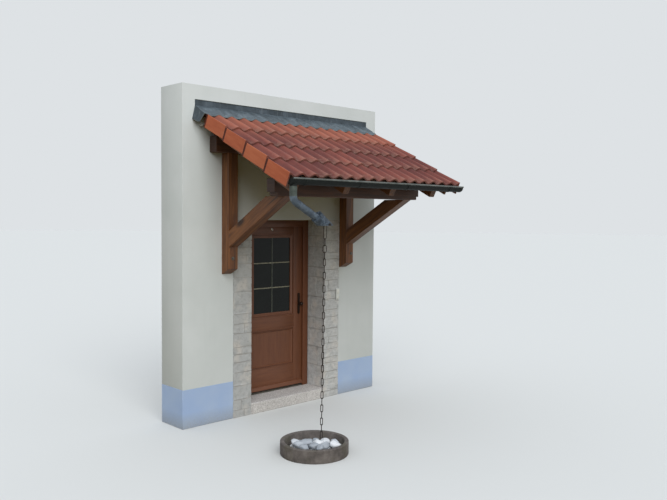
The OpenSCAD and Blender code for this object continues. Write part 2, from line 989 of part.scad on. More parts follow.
module doorbell() {
    color("#d8d6cf")
        translate([jamb_out - 57, -jamb_t - 12, step_h + 1042])
            cube([54, 12, 136]);
}

// Leaf with the openings for glass and panel cut through it
module leaf_frame() {
    color(door_c)
        difference() {
            translate([-leaf_half, leaf_y, leaf_z])
                cube([2 * leaf_half, leaf_t, leaf_top - leaf_z]);
            translate([-glass_half, leaf_y - eps, glass_z])
                cube([2 * glass_half, leaf_t + 2 * eps, glass_top - glass_z]);
            translate([-glass_half, leaf_y - eps, panel_z])
                cube([2 * glass_half, leaf_t + 2 * eps, panel_h]);
        }
}

module door_glass() {
    color("#1b1f1e")
        translate([-glass_half, leaf_y + (leaf_t - glass_t) / 2, glass_z])
            cube([2 * glass_half, glass_t, glass_top - glass_z]);
}

// Thin bars on both faces of the glass
module glass_bars() {
    y_front = leaf_y + (leaf_t - glass_t) / 2;
    pane_w = 2 * glass_half / pane_columns;
    pane_h = (glass_top - glass_z - 2 * glass_bead) / pane_rows;
    color("#8f8a70")
        for (y = [y_front - 4, y_front + glass_t]) {
            if (pane_columns > 1)
                for (i = [1:pane_columns - 1])
                    translate([-glass_half + i * pane_w - bar_w / 2, y, glass_z])
                        cube([bar_w, 4, glass_top - glass_z]);
            if (pane_rows > 1)
                for (i = [1:pane_rows - 1])
                    translate([-glass_half, y, glass_z + glass_bead + i * pane_h - bar_w / 2])
                        cube([2 * glass_half, 4, bar_w]);
        }
}

module door_panel() {
    color(door_c)
        translate([-glass_half, leaf_y + (leaf_t - panel_t) / 2, panel_z])
            cube([2 * glass_half, panel_t, panel_h]);
}

// Mitred beads round the glass and the panel, on both faces
module moulding_frame(z0, z1, w, y0, depth) {
    difference() {
        translate([-glass_half, y0, z0])
            cube([2 * glass_half, depth, z1 - z0]);
        translate([-glass_half + w, y0 - eps, z0 + w])
            cube([2 * (glass_half - w), depth + 2 * eps, z1 - z0 - 2 * w]);
    }
}

module leaf_mouldings() {
    glass_in = (leaf_t - glass_t) / 2;
    panel_in = (leaf_t - panel_t) / 2;
    panel_top = panel_z + panel_h;
    color(door_c) {
        moulding_frame(glass_z, glass_top, glass_bead, leaf_y - bead_out, glass_in + bead_out - 4);
        moulding_frame(panel_z, panel_top, panel_bead, leaf_y - bead_out, panel_in + bead_out);
        moulding_frame(glass_z, glass_top, glass_bead, leaf_y + leaf_t - glass_in + 4, glass_in - 4);
        moulding_frame(panel_z, panel_top, panel_bead, leaf_y + leaf_t - panel_in, panel_in);
    }
}

// Sloping drip bar along the foot of the leaf
module weather_bar() {
    y = leaf_y;
    z = leaf_z + 6;
    half = opening_w / 2 - frame_w - 8;
    color(door_c)
        side_profile(
            [[-y, z], [-y, z + 52], [-y + 10, z + 46], [-y + 26, z + 16], [-y + 26, z + 4], [-y + 18, z]],
            -half, half
        );
}

// Long plates on both faces, a fixed knob outside and a lever inside
module door_handles() {
    color(iron_c) {
        translate([handle_x, leaf_y, handle_z])
            rotate([90, 0, 0]) {
                handle_plate();
                cylinder(r = 10, h = 42, $fn = 24);
                translate([0, 0, 52])
                    sphere(r = 24, $fn = 48);
            }
        translate([handle_x, leaf_y + leaf_t, handle_z])
            mirror([0, 1, 0])
                rotate([90, 0, 0]) {
                    handle_plate();
                    cylinder(r = 9, h = 50, $fn = 24);
                    translate([-112, -9, 38])
                        cube([112, 18, 14]);
                }
    }
}

module handle_plate() {
    linear_extrude(6)
        union() {
            square([34, 220], center = true);
            for (y = [-110, 110])
                translate([0, y])
                    circle(r = 17, $fn = 32);
        }
}

// Upper knuckles, bored for the pins, on arms screwed to the leaf
module leaf_hinges() {
    color(iron_c)
        for (z = hinge_zs)
            difference() {
                union() {
                    translate([hinge_x, hinge_y, z + 0.5])
                        cylinder(r = knuckle_r, h = knuckle_h, $fn = 32);
                    translate([hinge_x + 4, leaf_y + leaf_t, z + 8])
                        cube([34, 6, knuckle_h - 16]);
                    translate([hinge_x, leaf_y + leaf_t, z + 8])
                        cube([8, hinge_y - leaf_y - leaf_t, knuckle_h - 16]);
                }
                translate([hinge_x, hinge_y, z - eps])
                    cylinder(r = pin_r + pin_clear, h = knuckle_h + 1, $fn = 32);
            }
}

wall_left();
wall_right();
wall_over_door();
plinth();
doorstep();
jamb_stone_left();
jamb_stone_right();
door_frame();
door_sill();
frame_hinges();
post_left();
post_right();
brace_left();
brace_right();
wall_purlin();
front_purlin();
rafters();
roof_boards();
verge_boards();
eave_board();
roof_battens();
tile_course_1();
tile_course_2();
tile_course_3();
tile_course_4();
verge_tiles_left();
verge_tiles_right();
wall_flashing();
gutter();
gutter_brackets();
gutter_outlet();
spout_pipe();
rain_chain();
basin_ring();
basin_stones();
doorbell();
leaf_frame();
door_glass();
glass_bars();
door_panel();
leaf_mouldings();
weather_bar();
door_handles();
leaf_hinges();
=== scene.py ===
import json
import random
from functools import partial
from math import cos, hypot, pi, radians, sin, sqrt

import bmesh
import bpy
from mathutils import Matrix, Vector, noise
from mathutils.bvhtree import BVHTree


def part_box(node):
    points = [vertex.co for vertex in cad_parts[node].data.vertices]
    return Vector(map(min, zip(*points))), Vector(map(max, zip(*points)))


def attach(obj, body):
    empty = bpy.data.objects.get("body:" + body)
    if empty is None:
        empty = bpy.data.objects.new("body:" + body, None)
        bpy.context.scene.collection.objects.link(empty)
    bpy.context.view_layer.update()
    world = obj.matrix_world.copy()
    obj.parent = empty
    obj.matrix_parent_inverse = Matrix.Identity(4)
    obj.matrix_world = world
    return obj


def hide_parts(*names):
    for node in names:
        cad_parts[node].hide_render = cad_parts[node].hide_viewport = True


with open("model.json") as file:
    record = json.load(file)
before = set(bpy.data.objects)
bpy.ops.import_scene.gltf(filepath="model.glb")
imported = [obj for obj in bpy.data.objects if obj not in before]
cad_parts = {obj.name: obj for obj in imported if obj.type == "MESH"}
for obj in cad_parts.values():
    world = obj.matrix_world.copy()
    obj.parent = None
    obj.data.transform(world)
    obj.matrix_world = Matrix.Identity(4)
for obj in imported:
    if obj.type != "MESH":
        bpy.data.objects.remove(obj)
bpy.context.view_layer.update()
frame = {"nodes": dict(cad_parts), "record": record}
nodes = frame["nodes"]
leafNodes = frame["record"]["behaviour"]["bodies"]["door_leaf"]
print("frame loaded with", len(nodes), "nodes")

scene = bpy.context.scene
scene.view_settings.view_transform = "Standard"

roofSlope = 26.8  # degrees, as in the CAD source
near = 0.001  # metres within which two places count as one
outside = Vector((0, -1, 0))

# camera, at the photograph's place and angle
view = dict(at=(-5.3404, -6.2607, 2.1825), turn=43.947, down=2.762, roll=0.477, focal=726.11, frameWidth=667)
turn, down, roll = (radians(view[k]) for k in ("turn", "down", "roll"))
flatRight = Vector((cos(turn), -sin(turn), 0))
ahead = Vector((sin(turn) * cos(down), cos(turn) * cos(down), -sin(down)))
flatUp = flatRight.cross(ahead)
right = cos(roll) * flatRight + sin(roll) * flatUp
up = -sin(roll) * flatRight + cos(roll) * flatUp
camera = bpy.data.objects.new("camera", bpy.data.cameras.new("camera"))
scene.collection.objects.link(camera)
camera.matrix_world = Matrix.Translation(view["at"]) @ Matrix((right, up, -ahead)).transposed().to_4x4()
camera.data.sensor_width = 36
camera.data.lens = 36 * view["focal"] / view["frameWidth"]
camera.data.clip_end = 200
scene.camera = camera
print("camera placed")


# colours and shader nodes
def linear(code):
    parts = [int(code[i:i + 2], 16) / 255 for i in (1, 3, 5)]
    return tuple(c / 12.92 if c <= 0.04045 else ((c + 0.055) / 1.055) ** 2.4 for c in parts) + (1,)


def outputOf(node):
    return next(o for o in node.outputs if o.enabled)


# adds one node: lower-case names are its settings, capitals and numbers its inputs, each a value or a link;
# a node or link in place of the dict goes to the first input
def addNode(tree, kind, inputs=None, **named):
    node = tree.nodes.new("ShaderNode" + kind)
    if not isinstance(inputs, dict):
        inputs = {0: inputs} if inputs else {}
    for name, value in {**named, **inputs}.items():
        if name == "stops":
            stops = node.color_ramp.elements
            while len(stops) < len(value):
                stops.new(0.5)
            for stop, (place, colour) in zip(stops, value):
                stop.position = place
                stop.color = linear(colour) if isinstance(colour, str) else (colour,) * 3 + (1,)
        elif str(name).islower():
            setattr(node, name, value)
        else:
            if isinstance(value, bpy.types.Node):
                value = outputOf(value)
            if isinstance(value, bpy.types.NodeSocket):
                tree.links.new(value, node.inputs[name])
            else:
                node.inputs[name].default_value = linear(value) if isinstance(value, str) else value
    return node


# a new material with its fixed values, and addNode for its tree
def startMaterial(name, fixed):
    material = bpy.data.materials.new(name)
    material.use_nodes = True
    for socket, value in fixed.items():
        material.node_tree.nodes["Principled BSDF"].inputs[socket].default_value = value
    return material, partial(addNode, material.node_tree)


# object coordinates in metres, turned and stretched for a pattern
def patternSpace(add, turned=(0, 0, 0), stretch=(1, 1, 1)):
    angles = tuple(radians(a) for a in turned)
    flat = add("Mapping", add("TexCoord").outputs["Object"], Rotation=angles)
    return add("Mapping", flat, Scale=stretch)


# tones spread over a pattern
def spread(add, places, tones, pattern):
    return add("ValToRGB", pattern, stops=list(zip(places, tones)))


# a tone laid over a colour, as strongly as the stops make of a pattern
def layOver(add, colour, tone, pattern, stops):
    return add("Mix", {0: add("ValToRGB", pattern, stops=stops), 6: colour, 7: tone}, data_type="RGBA")


# a colour darkened, up to a share, where the stops make a pattern dark
def darken(add, colour, share, pattern, stops):
    shade = add("ValToRGB", pattern, stops=stops)
    return add("Mix", {0: share, 6: colour, 7: shade}, data_type="RGBA", blend_type="MULTIPLY")


# a pattern mixed with the tone of its own that each stone or tile has
def withOwnTone(add, share, pattern):
    own = add("Attribute", attribute_name="tone")
    return add("Mix", {0: share, 2: own.outputs["Fac"], 3: pattern})


# joins colour, roughness and bumps to the material's shader; gives back the material
def finish(material, add, colour, rough=None, height=None, distance=0.001, strength=1.0):
    links, shader = material.node_tree.links, material.node_tree.nodes["Principled BSDF"]
    links.new(outputOf(colour), shader.inputs["Base Color"])
    if rough is not None:
        links.new(outputOf(rough), shader.inputs["Roughness"])
    if height is not None:
        bump = add("Bump", Height=height, Distance=distance, Strength=strength)
        links.new(bump.outputs["Normal"], shader.inputs["Normal"])
    return material


# mineral render, rubbed with a felt board: fine even grain and faint rain streaks, quite matt
def mineralRender(name, colour, shade):
    look = dict(grain=0.006, streak="#B9BFBC")
    material, add = startMaterial(name, {"Roughness": 0.92})
    space = patternSpace(add)
    broad = add("TexNoise", space, Scale=1.7, Detail=5)
    tone = spread(add, (0.35, 0.68), (colour, shade), broad)
    runs = add("TexNoise", patternSpace(add, stretch=(9, 9, 0.5)), Scale=1.0, Detail=6)
    mixed = layOver(add, tone, look["streak"], runs, [(0.58, 0.0), (0.85, 0.22)])
    # the real grain is about 2 mm, drawn at 6 mm to show
    grain = add("TexNoise", space, Scale=1 / look["grain"], Detail=4, Roughness=0.7)
    return finish(material, add, mixed, None, grain, 0.0012, 0.35)


# smooth facade paint on the plinth: pale blue, with splashes of soil near the ground
def plinthPaint():
    look = dict(tones=("#9FB6DA", "#A9BDDA"), soil="#8F8C80", splash=0.16)
    material, add = startMaterial("plinthPaint", {"Roughness": 0.8})
    space = patternSpace(add)
    broad = add("TexNoise", space, Scale=3.5, Detail=6)
    tone = spread(add, (0.35, 0.7), look["tones"], broad)
    height = add("SeparateXYZ", add("TexCoord").outputs["Object"]).outputs[2]
    low = add("MapRange", {"From Min": look["splash"], "From Max": 0.0}, Value=height)
    spots = add("TexNoise", space, Scale=60, Detail=5, Roughness=0.75)
    splash = add("Math", {0: low, 1: spots}, operation="MULTIPLY")
    mixed = add("Mix", {0: splash, 6: tone, 7: look["soil"]}, data_type="RGBA")
    grain = add("TexNoise", space, Scale=130, Detail=3)
    return finish(material, add, mixed, None, grain, 0.001, 0.3)


# stone cast in a mould, lightly blasted: speckled with fine aggregate
def castStone():
    look = dict(tones=("#9E9B98", "#CBC8C6", "#E1DFDD"), aggregate=0.004)
    material, add = startMaterial("castStone", {"Roughness": 0.82})
    space = patternSpace(add)
    specks = add("TexVoronoi", space, Scale=1 / look["aggregate"])
    anyShade = add("SeparateColor", specks.outputs["Color"]).outputs[0]
    tone = spread(add, (0.1, 0.45, 0.9), look["tones"], anyShade)
    broad = add("TexNoise", space, Scale=5, Detail=6)
    mixed = darken(add, tone, 0.5, broad, [(0.3, 0.72), (0.7, 1.0)])
    return finish(material, add, mixed, None, specks.outputs["Distance"], 0.0006, 0.4)


# split travertine: blocks of their own warm greys, with clouded bands, patches darkened as painted shade of
# the rough split faces, and small pits
def splitTravertine():
    look = dict(tones=("#B0B2B2", "#E2E4E4", "#FAFBFB"), pit="#85817B", warm="#DBD0C2")
    material, add = startMaterial("splitTravertine", {"Roughness": 0.86})
    space = patternSpace(add)
    bed = patternSpace(add, stretch=(1, 1, 2.6))
    cloud = add("TexNoise", bed, Scale=14, Detail=8, Roughness=0.65, Distortion=0.6)
    tone = spread(add, (0.25, 0.5, 0.75), look["tones"], withOwnTone(add, 0.35, cloud))
    warmth = add("TexNoise", space, Scale=6, Detail=3)
    tinted = layOver(add, tone, look["warm"], warmth, [(0.5, 0.0), (0.75, 0.45)])
    # painted shade: patches darkened for the relief of the rough split faces
    reliefShadeNoise = add("TexNoise", space, Scale=24, Detail=4, Roughness=0.6, Distortion=0.5)
    reliefShaded = darken(add, tinted, 0.42, reliefShadeNoise, [(0.36, 0.62), (0.5, 1.0)])
    pits = add("TexVoronoi", bed, Scale=55)
    hollow = add("ValToRGB", pits.outputs["Distance"], stops=[(0.12, 1.0), (0.24, 0.0)])
    where = add("ValToRGB", add("TexNoise", space, Scale=18), stops=[(0.52, 0.0), (0.62, 1.0)])
    pitted = add("Math", {0: hollow, 1: where}, operation="MULTIPLY")
    mixed = add("Mix", {0: pitted, 6: reliefShaded, 7: look["pit"]}, data_type="RGBA")
    fine = add("TexNoise", space, Scale=90, Detail=8, Roughness=0.7)
    relief = add("Math", {0: fine, 1: pitted}, operation="SUBTRACT")
    return finish(material, add, mixed, None, relief, 0.002, 0.6)


# softwood with a brown glaze: grain lines along the piece, a few knots and drying cracks, silky
def glazedTimber(name, turned, look):
    material, add = startMaterial(name, {"Roughness": look["rough"], "Specular IOR Level": 0.4})
    long, longer, knotSpace = (patternSpace(add, turned, (share, 1, 1)) for share in (0.07, 0.02, 0.45))
    figure = add("TexNoise", long, Scale=look["figure"], Detail=7, Roughness=0.62, Distortion=0.7)
    tone = spread(add, (0.3, 0.5, 0.72), look["tones"], figure)
    # fibres are under 1 mm, drawn at 3 mm to show
    fibre = add("TexNoise", longer, Scale=320, Detail=3, Roughness=0.6)
    grained = darken(add, tone, look["grain"], fibre, [(0.35, 0.66), (0.6, 1.0)])
    knots = add("TexVoronoi", knotSpace, Scale=look["knots"], Randomness=1.0).outputs["Distance"]
    knotted = layOver(add, grained, look["knotTone"], knots, [(0.05, 1.0), (0.1, 0.0)])
    split = add("TexNoise", longer, Scale=30, Detail=2, Distortion=0.3)
    crack = add("ValToRGB", split, stops=[(0.3, 1.0), (0.325, 0.0)])
    mixed = add("Mix", {0: crack, 6: knotted, 7: look["crack"]}, data_type="RGBA")
    relief = add("Math", {0: fibre, 1: crack}, operation="SUBTRACT")
    return finish(material, add, mixed, None, relief, 0.0008, 0.5)


# fired clay with an engobe: tiles of their own tones, lighter towards the wall, with a painted highlight on
# the crests, painted shade and soot in the pans, and thinly worn tails whose lips also carry a painted
# highlight
def firedClay(name, look):
    material, add = startMaterial(name, {"Roughness": look["rough"], "Specular IOR Level": 0.35})
    space = patternSpace(add)
    slope = patternSpace(add, (-roofSlope, 0, 0), (1, 0.16, 1))
    cloud = add("TexNoise", slope, Scale=26, Detail=7, Roughness=0.62)
    tone = spread(add, (0.28, 0.5, 0.74), look["tones"], withOwnTone(add, 0.7, cloud))
    height = add("SeparateXYZ", add("TexCoord").outputs["Object"]).outputs[2]
    upper = add("MapRange", {"From Min": 2.9, "From Max": 3.1, "To Max": look["upper"]}, Value=height)
    raised = add("Mix", {0: upper, 6: tone, 7: look["upperTone"]}, data_type="RGBA")
    # painted highlight: the crests of the rolls mixed paler
    crest = add("Attribute", attribute_name="crest").outputs["Fac"]
    crestHighlight = add("MapRange", {"From Min": 0.55, "To Max": look["crest"]}, Value=crest)
    highlighted = add("Mix", {0: crestHighlight, 6: raised, 7: look["crestHighlightTone"]}, data_type="RGBA")
    # painted shade, partly soot: the pans darkened towards the soot tone
    pan = add("MapRange", {"From Max": 0.6, "To Min": look["pan"], "To Max": 0.0}, Value=crest)
    panShaded = add("Mix", {0: pan, 6: highlighted, 7: look["sootAndShadeTone"]}, data_type="RGBA")
    soot = add("TexNoise", space, Scale=9, Detail=8, Roughness=0.7)
    sooty = layOver(add, panShaded, look["sootAndShadeTone"], soot, [(0.52, 0.0), (0.78, look["soot"])])
    # the tails paler: partly wear, partly a painted highlight on the lip that catches the light
    tail = add("Attribute", attribute_name="tail").outputs["Fac"]
    ragged = add("TexNoise", space, Scale=45, Detail=5, Roughness=0.7)
    edge = add("Math", {0: tail, 1: ragged}, operation="MULTIPLY")
    mixed = layOver(add, sooty, look["wornAndLitTone"], edge, [(0.34, 0.0), (0.55, look["wear"])])
    fine = add("TexNoise", space, Scale=180, Detail=5, Roughness=0.7)
    rough = add("MapRange", {"To Min": look["rough"] - 0.12, "To Max": look["rough"] + 0.15}, Value=cloud)
    return finish(material, add, mixed, rough, fine, 0.0007, 0.5)


# rolled sheet zinc or steel, weathered out of doors: dull patina in clouds, with runs and a soft sheen
def weatheredSheet(name, look):
    fixed = {"Metallic": look["metal"], "Roughness": look["rough"], "Specular IOR Level": look["sheen"]}
    material, add = startMaterial(name, fixed)
    space = patternSpace(add)
    cloud = add("TexNoise", space, Scale=look["cloud"], Detail=8, Roughness=0.65, Distortion=0.5)
    tone = spread(add, (0.32, 0.52, 0.75), look["tones"], cloud)
    down = patternSpace(add, stretch=(26, 26, 2.2))
    runs = add("TexNoise", down, Scale=1.0, Detail=6, Roughness=0.7)
    mixed = layOver(add, tone, look["runTone"], runs, [(0.56, 0.0), (0.75, look["runs"])])
    rough = add("MapRange", {"To Min": look["rough"] - 0.13, "To Max": look["rough"] + 0.16}, Value=cloud)
    dents = add("TexNoise", space, Scale=22, Detail=2)
    return finish(material, add, mixed, rough, dents, look["dent"], 0.5)


# forged or cast metal that stands outside: dark coat with rust where it wears
def rustedIron(name, look):
    material, add = startMaterial(name, {"Metallic": look["metal"], "Roughness": look["rough"]})
    space = patternSpace(add)
    cloud = add("TexNoise", space, Scale=look["cloud"], Detail=8, Roughness=0.7)
    tone = spread(add, (0.36, 0.54, 0.72), look["tones"], cloud)
    pitted = add("TexNoise", space, Scale=420, Detail=4)
    return finish(material, add, tone, None, pitted, 0.0004, 0.7)


# concrete cast in the ground: dark and damp, with mossy patches and air holes
def dampConcrete():
    look = dict(tones=("#474240", "#635D5A", "#7E7874"), moss="#4E4B3A")
    material, add = startMaterial("dampConcrete", {"Roughness": 0.9})
    space = patternSpace(add)
    cloud = add("TexNoise", space, Scale=13, Detail=8, Roughness=0.68)
    tone = spread(add, (0.3, 0.52, 0.74), look["tones"], cloud)
    patches = add("TexNoise", space, Scale=7, Detail=4)
    mossy = layOver(add, tone, look["moss"], patches, [(0.5, 0.0), (0.68, 0.5)])
    holes = add("TexVoronoi", space, Scale=70).outputs["Distance"]
    hole = add("ValToRGB", holes, stops=[(0.1, 0.0), (0.2, 1.0)])
    return finish(material, add, mossy, None, hole, 0.002, 0.5)


# river pebbles: rolled limestone and granite, each its own grey
def riverPebble():
    look = dict(tones=("#98A0A9", "#BEC5CD", "#DDE1E6"), vein="#B3A9A4")
    material, add = startMaterial("riverPebble", {"Roughness": 0.7, "Specular IOR Level": 0.4})
    space = patternSpace(add)
    cloud = add("TexNoise", space, Scale=60, Detail=7)
    tone = spread(add, (0.2, 0.5, 0.8), look["tones"], withOwnTone(add, 0.2, cloud))
    veins = add("TexWave", space, Scale=30, Distortion=9, Detail=4)
    mixed = layOver(add, tone, look["vein"], veins, [(0.86, 0.0), (1.0, 0.4)])
    fine = add("TexNoise", space, Scale=240, Detail=3)
    return finish(material, add, mixed, None, fine, 0.0005, 0.4)


# float glass with the dark hall behind it painted in as shade: near black with a faint green tint, dust along
# it
def darkGlass():
    look = dict(tones=("#0E100E", "#171B18"), dust="#2A2D29")
    material, add = startMaterial("darkGlass", {"Roughness": 0.06, "IOR": 1.5, "Specular IOR Level": 0.18})
    space = patternSpace(add)
    cloud = add("TexNoise", space, Scale=2.2, Detail=3)
    tone = spread(add, (0.35, 0.65), look["tones"], cloud)
    dust = add("TexNoise", space, Scale=30, Detail=7)
    mixed = layOver(add, tone, look["dust"], dust, [(0.55, 0.0), (0.8, 0.3)])
    rough = add("MapRange", {"To Min": 0.03, "To Max": 0.14}, Value=dust)
    return finish(material, add, mixed, rough, cloud, 0.0006, 0.3)


# moulded cover of the bell: matt plastic, slightly yellowed in patches
def mouldedCover(name, clean, aged):
    material, add = startMaterial(name, {"Roughness": 0.45})
    space = patternSpace(add)
    tone = spread(add, (0.4, 0.7), (clean, aged), add("TexNoise", space, Scale=45, Detail=4))
    fine = add("TexNoise", space, Scale=600, Detail=2)
    return finish(material, add, tone, None, fine, 0.0001, 0.3)


timberLook = dict(
    tones=("#4E301D", "#704627", "#8B5B33"), figure=30, knots=2.1, knotTone="#2F1B10",
    crack="#24140C", rough=0.5, grain=0.6,
)
doorLook = dict(
    tones=("#5F3926", "#69402A", "#71462E"), figure=44, knots=0.7, knotTone="#4A2A1C",
    crack="#5B3725", rough=0.42, grain=0.12,
)
# crest and crestHighlightTone paint a highlight on the rolls; pan paints shade into the pans
fieldLook = dict(
    tones=("#5F302C", "#753D35", "#88493D"), upper=0.65, upperTone="#A9634B",
    crest=0.35, crestHighlightTone="#AA7264", pan=0.45, soot=0.4, sootAndShadeTone="#43292A",
    wear=0.35, wornAndLitTone="#8C7565", rough=0.78,
)
vergeLook = dict(
    fieldLook, tones=("#98492F", "#AC5D3E", "#B76B4A"), upper=0.0, crest=0.0, pan=0.0,
    soot=0.12, sootAndShadeTone="#80402F", wear=0.1, wornAndLitTone="#A87A62", rough=0.8,
)
flashingLook = dict(
    tones=("#333C41", "#465058", "#5F6B74"), cloud=7, runs=0.35, runTone="#98A2A8",
    metal=0.35, rough=0.5, dent=0.003, sheen=0.5,
)
spoutLook = dict(
    tones=("#353F4A", "#505C68", "#75828F"), cloud=20, runs=0.3, runTone="#94A0AC",
    metal=0.2, rough=0.42, dent=0.001, sheen=0.4,
)
barLook = dict(tones=("#6A6755", "#858270", "#9C9984"), cloud=30, metal=0.2, rough=0.5)

render = mineralRender("mineralRender", "#CBD0D0", "#C2C8C7")
mortar = mineralRender("paleMortar", "#AEABA6", "#9D9A95")
plinth = plinthPaint()
stone = splitTravertine()
step = castStone()
concrete = dampConcrete()
pebble = riverPebble()
glass = darkGlass()
# one timber, with its grain turned along upright, level, sloping and slanted pieces
uprights = glazedTimber("glazedTimberUp", (0, 90, 0), timberLook)
lengthways = glazedTimber("glazedTimberAcross", (0, 0, 0), timberLook)
sloping = glazedTimber("glazedTimberSlope", (-roofSlope, 0, 90), timberLook)
braceWood = glazedTimber("glazedTimberBrace", (30, 0, 90), timberLook)
# the purlins darker than the other timber: painted shade under the gutter and the roof
shadedPurlinWood = glazedTimber("glazedPurlinPaintedShade", (0, 0, 0), dict(
    timberLook, tones=("#382317", "#50321F", "#674128"), knotTone="#2B190F", crack="#21130B",
))
boards = glazedTimber("glazedBoards", (0, 0, 0), dict(
    tones=("#5E4229", "#7F5C3A", "#9A744B"), figure=36, knots=2.6, knotTone="#3F2817",
    crack="#3A2616", rough=0.6, grain=0.6,
))
# end grain darker: partly its own colour, partly painted shade
endGrainAndShade = glazedTimber("endGrainAndShade", (0, 0, 90), dict(
    tones=("#2E1D16", "#3F291F", "#513626"), figure=90, knots=6.0, knotTone="#2A1A12",
    crack="#1C110B", rough=0.6, grain=0.5,
))
stile = glazedTimber("doorWoodUp", (0, 90, 0), doorLook)
rail = glazedTimber("doorWoodAcross", (0, 0, 0), doorLook)
fieldClay = firedClay("firedClayField", fieldLook)
vergeClay = firedClay("firedClayVerge", vergeLook)
# dark clay for the upper ends of the verge flaps: painted shade
shadeClay = firedClay("paintedShadeClay", dict(
    vergeLook, tones=("#3E1B14", "#4B2219", "#5A2C20"), soot=0.3, sootAndShadeTone="#3A1C16",
    wear=0.0, rough=0.85,
))
flashing = weatheredSheet("weatheredFlashing", flashingLook)
litApron = weatheredSheet("apronPaintedLight", dict(
    flashingLook, tones=("#414C53", "#59656E", "#78868F"), cloud=9, runs=0.5, runTone="#A2ACB2",
))
gutterMetal = weatheredSheet("weatheredGutter", dict(
    tones=("#101413", "#191D1C", "#262B2A"), cloud=9, runs=0.3, runTone="#363C3A",
    metal=0.0, rough=0.6, dent=0.001, sheen=0.15,
))
highlightMetal = weatheredSheet("beadPaintedHighlight", dict(
    tones=("#4A4F4D", "#666B68", "#828783"), cloud=12, runs=0.3, runTone="#9AA09D",
    metal=0.3, rough=0.42, dent=0.0005, sheen=0.5,
))
spoutMetal = weatheredSheet("weatheredSpout", spoutLook)
mouthMetal = weatheredSheet("darkStreakedMouth", dict(
    spoutLook, tones=("#1F262E", "#434F5C", "#8492A1"), cloud=38, runs=0.4, runTone="#2A323B",
))
elbowMetal = weatheredSheet("greenishElbow", dict(
    spoutLook, tones=("#363D39", "#4A524D", "#616A64"), runTone="#7B837E", rough=0.5, sheen=0.3,
))
barMetal = rustedIron("paleBars", barLook)
shadedUprightMetal = rustedIron("uprightBarPaintedShade", dict(barLook, tones=("#3E4039", "#4E5148", "#5F6259")))
chainIron, bronze, hingeMetal, nutIron = (
    rustedIron(name, dict(tones=tones, cloud=cloud, metal=metal, rough=rough))
    for name, tones, cloud, metal, rough in (
        ("rustedChain", ("#17110E", "#2A1F1A", "#4C3529"), 60, 0.25, 0.7),
        ("darkBronze", ("#1C120D", "#2F1E15", "#4A3021"), 40, 0.6, 0.38),
        ("dullSteel", ("#4A4640", "#6A655C", "#857F74"), 50, 0.7, 0.42),
        ("rustedNuts", ("#1C0F0C", "#35201A", "#54342A"), 70, 0.4, 0.6)))
bellCover = mouldedCover("bellCover", "#D3D6D2", "#C4C8C3")
bellButton = mouldedCover("bellButton", "#E4E5E0", "#D4D6D0")
print("materials made")


# turns a mesh into a piece; edges sharper than the angle stay sharp, without one all faces stay flat
def addPiece(name, mesh, smooth, materials, body="porch", replaced=()):
    if smooth:
        for face in mesh.faces:
            face.smooth = True
        for edge in mesh.edges:
            if edge.calc_face_angle(3.2) > radians(smooth):
                edge.smooth = False
    data = bpy.data.meshes.new(name)
    mesh.to_mesh(data)
    mesh.free()
    piece = bpy.data.objects.new(name, data)
    scene.collection.objects.link(piece)
    for material in materials:
        data.materials.append(material)
    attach(piece, body)
    if replaced:
        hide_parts(*replaced)
    return piece


# a piece that stands for one CAD node, bevelled at its sharper edges where a width is given
def refine(node, mesh, smooth, materials, width=0.0, segments=2, angle=30):
    body = "door_leaf" if node in leafNodes else "porch"
    piece = addPiece(node + "_fine", mesh, smooth, materials, body, [node])
    if width:
        bevel = piece.modifiers.new("bevel", "BEVEL")
        bevel.width = width
        bevel.segments = segments
        bevel.limit_method = "ANGLE"
        bevel.angle_limit = radians(angle)


# the merged copy of a CAD node, with flat faces whole again
def copyOf(node):
    mesh = bmesh.new()
    mesh.from_mesh(nodes[node].data)
    bmesh.ops.remove_doubles(mesh, verts=mesh.verts, dist=0.00002)
    bmesh.ops.dissolve_limit(mesh, angle_limit=radians(0.4), verts=mesh.verts, edges=mesh.edges)
    return mesh


# the separate solids of a mesh, each a list of vertices
def solidsOf(mesh):
    seen, solids = set(), []
    for start in mesh.verts:
        if start in seen:
            continue
        seen.add(start)
        group, waiting = [], [start]
        while waiting:
            vert = waiting.pop()
            group.append(vert)
            for edge in vert.link_edges:
                other = edge.other_vert(vert)
                if other not in seen:
                    seen.add(other)
                    waiting.append(other)
        solids.append(group)
    return solids


# gives each face one of its piece's materials by a rule on its middle and normal
def paint(mesh, rule):
    for face in mesh.faces:
        face.material_index = rule(face.calc_center_median(), face.normal)


# cuts a mesh, or the part of it that is given, along a plane
def cutAlong(mesh, point, normal, part=None, **options):
    part = part or mesh.verts[:] + mesh.edges[:] + mesh.faces[:]
    return bmesh.ops.bisect_plane(mesh, geom=part, plane_co=point, plane_no=normal, **options)


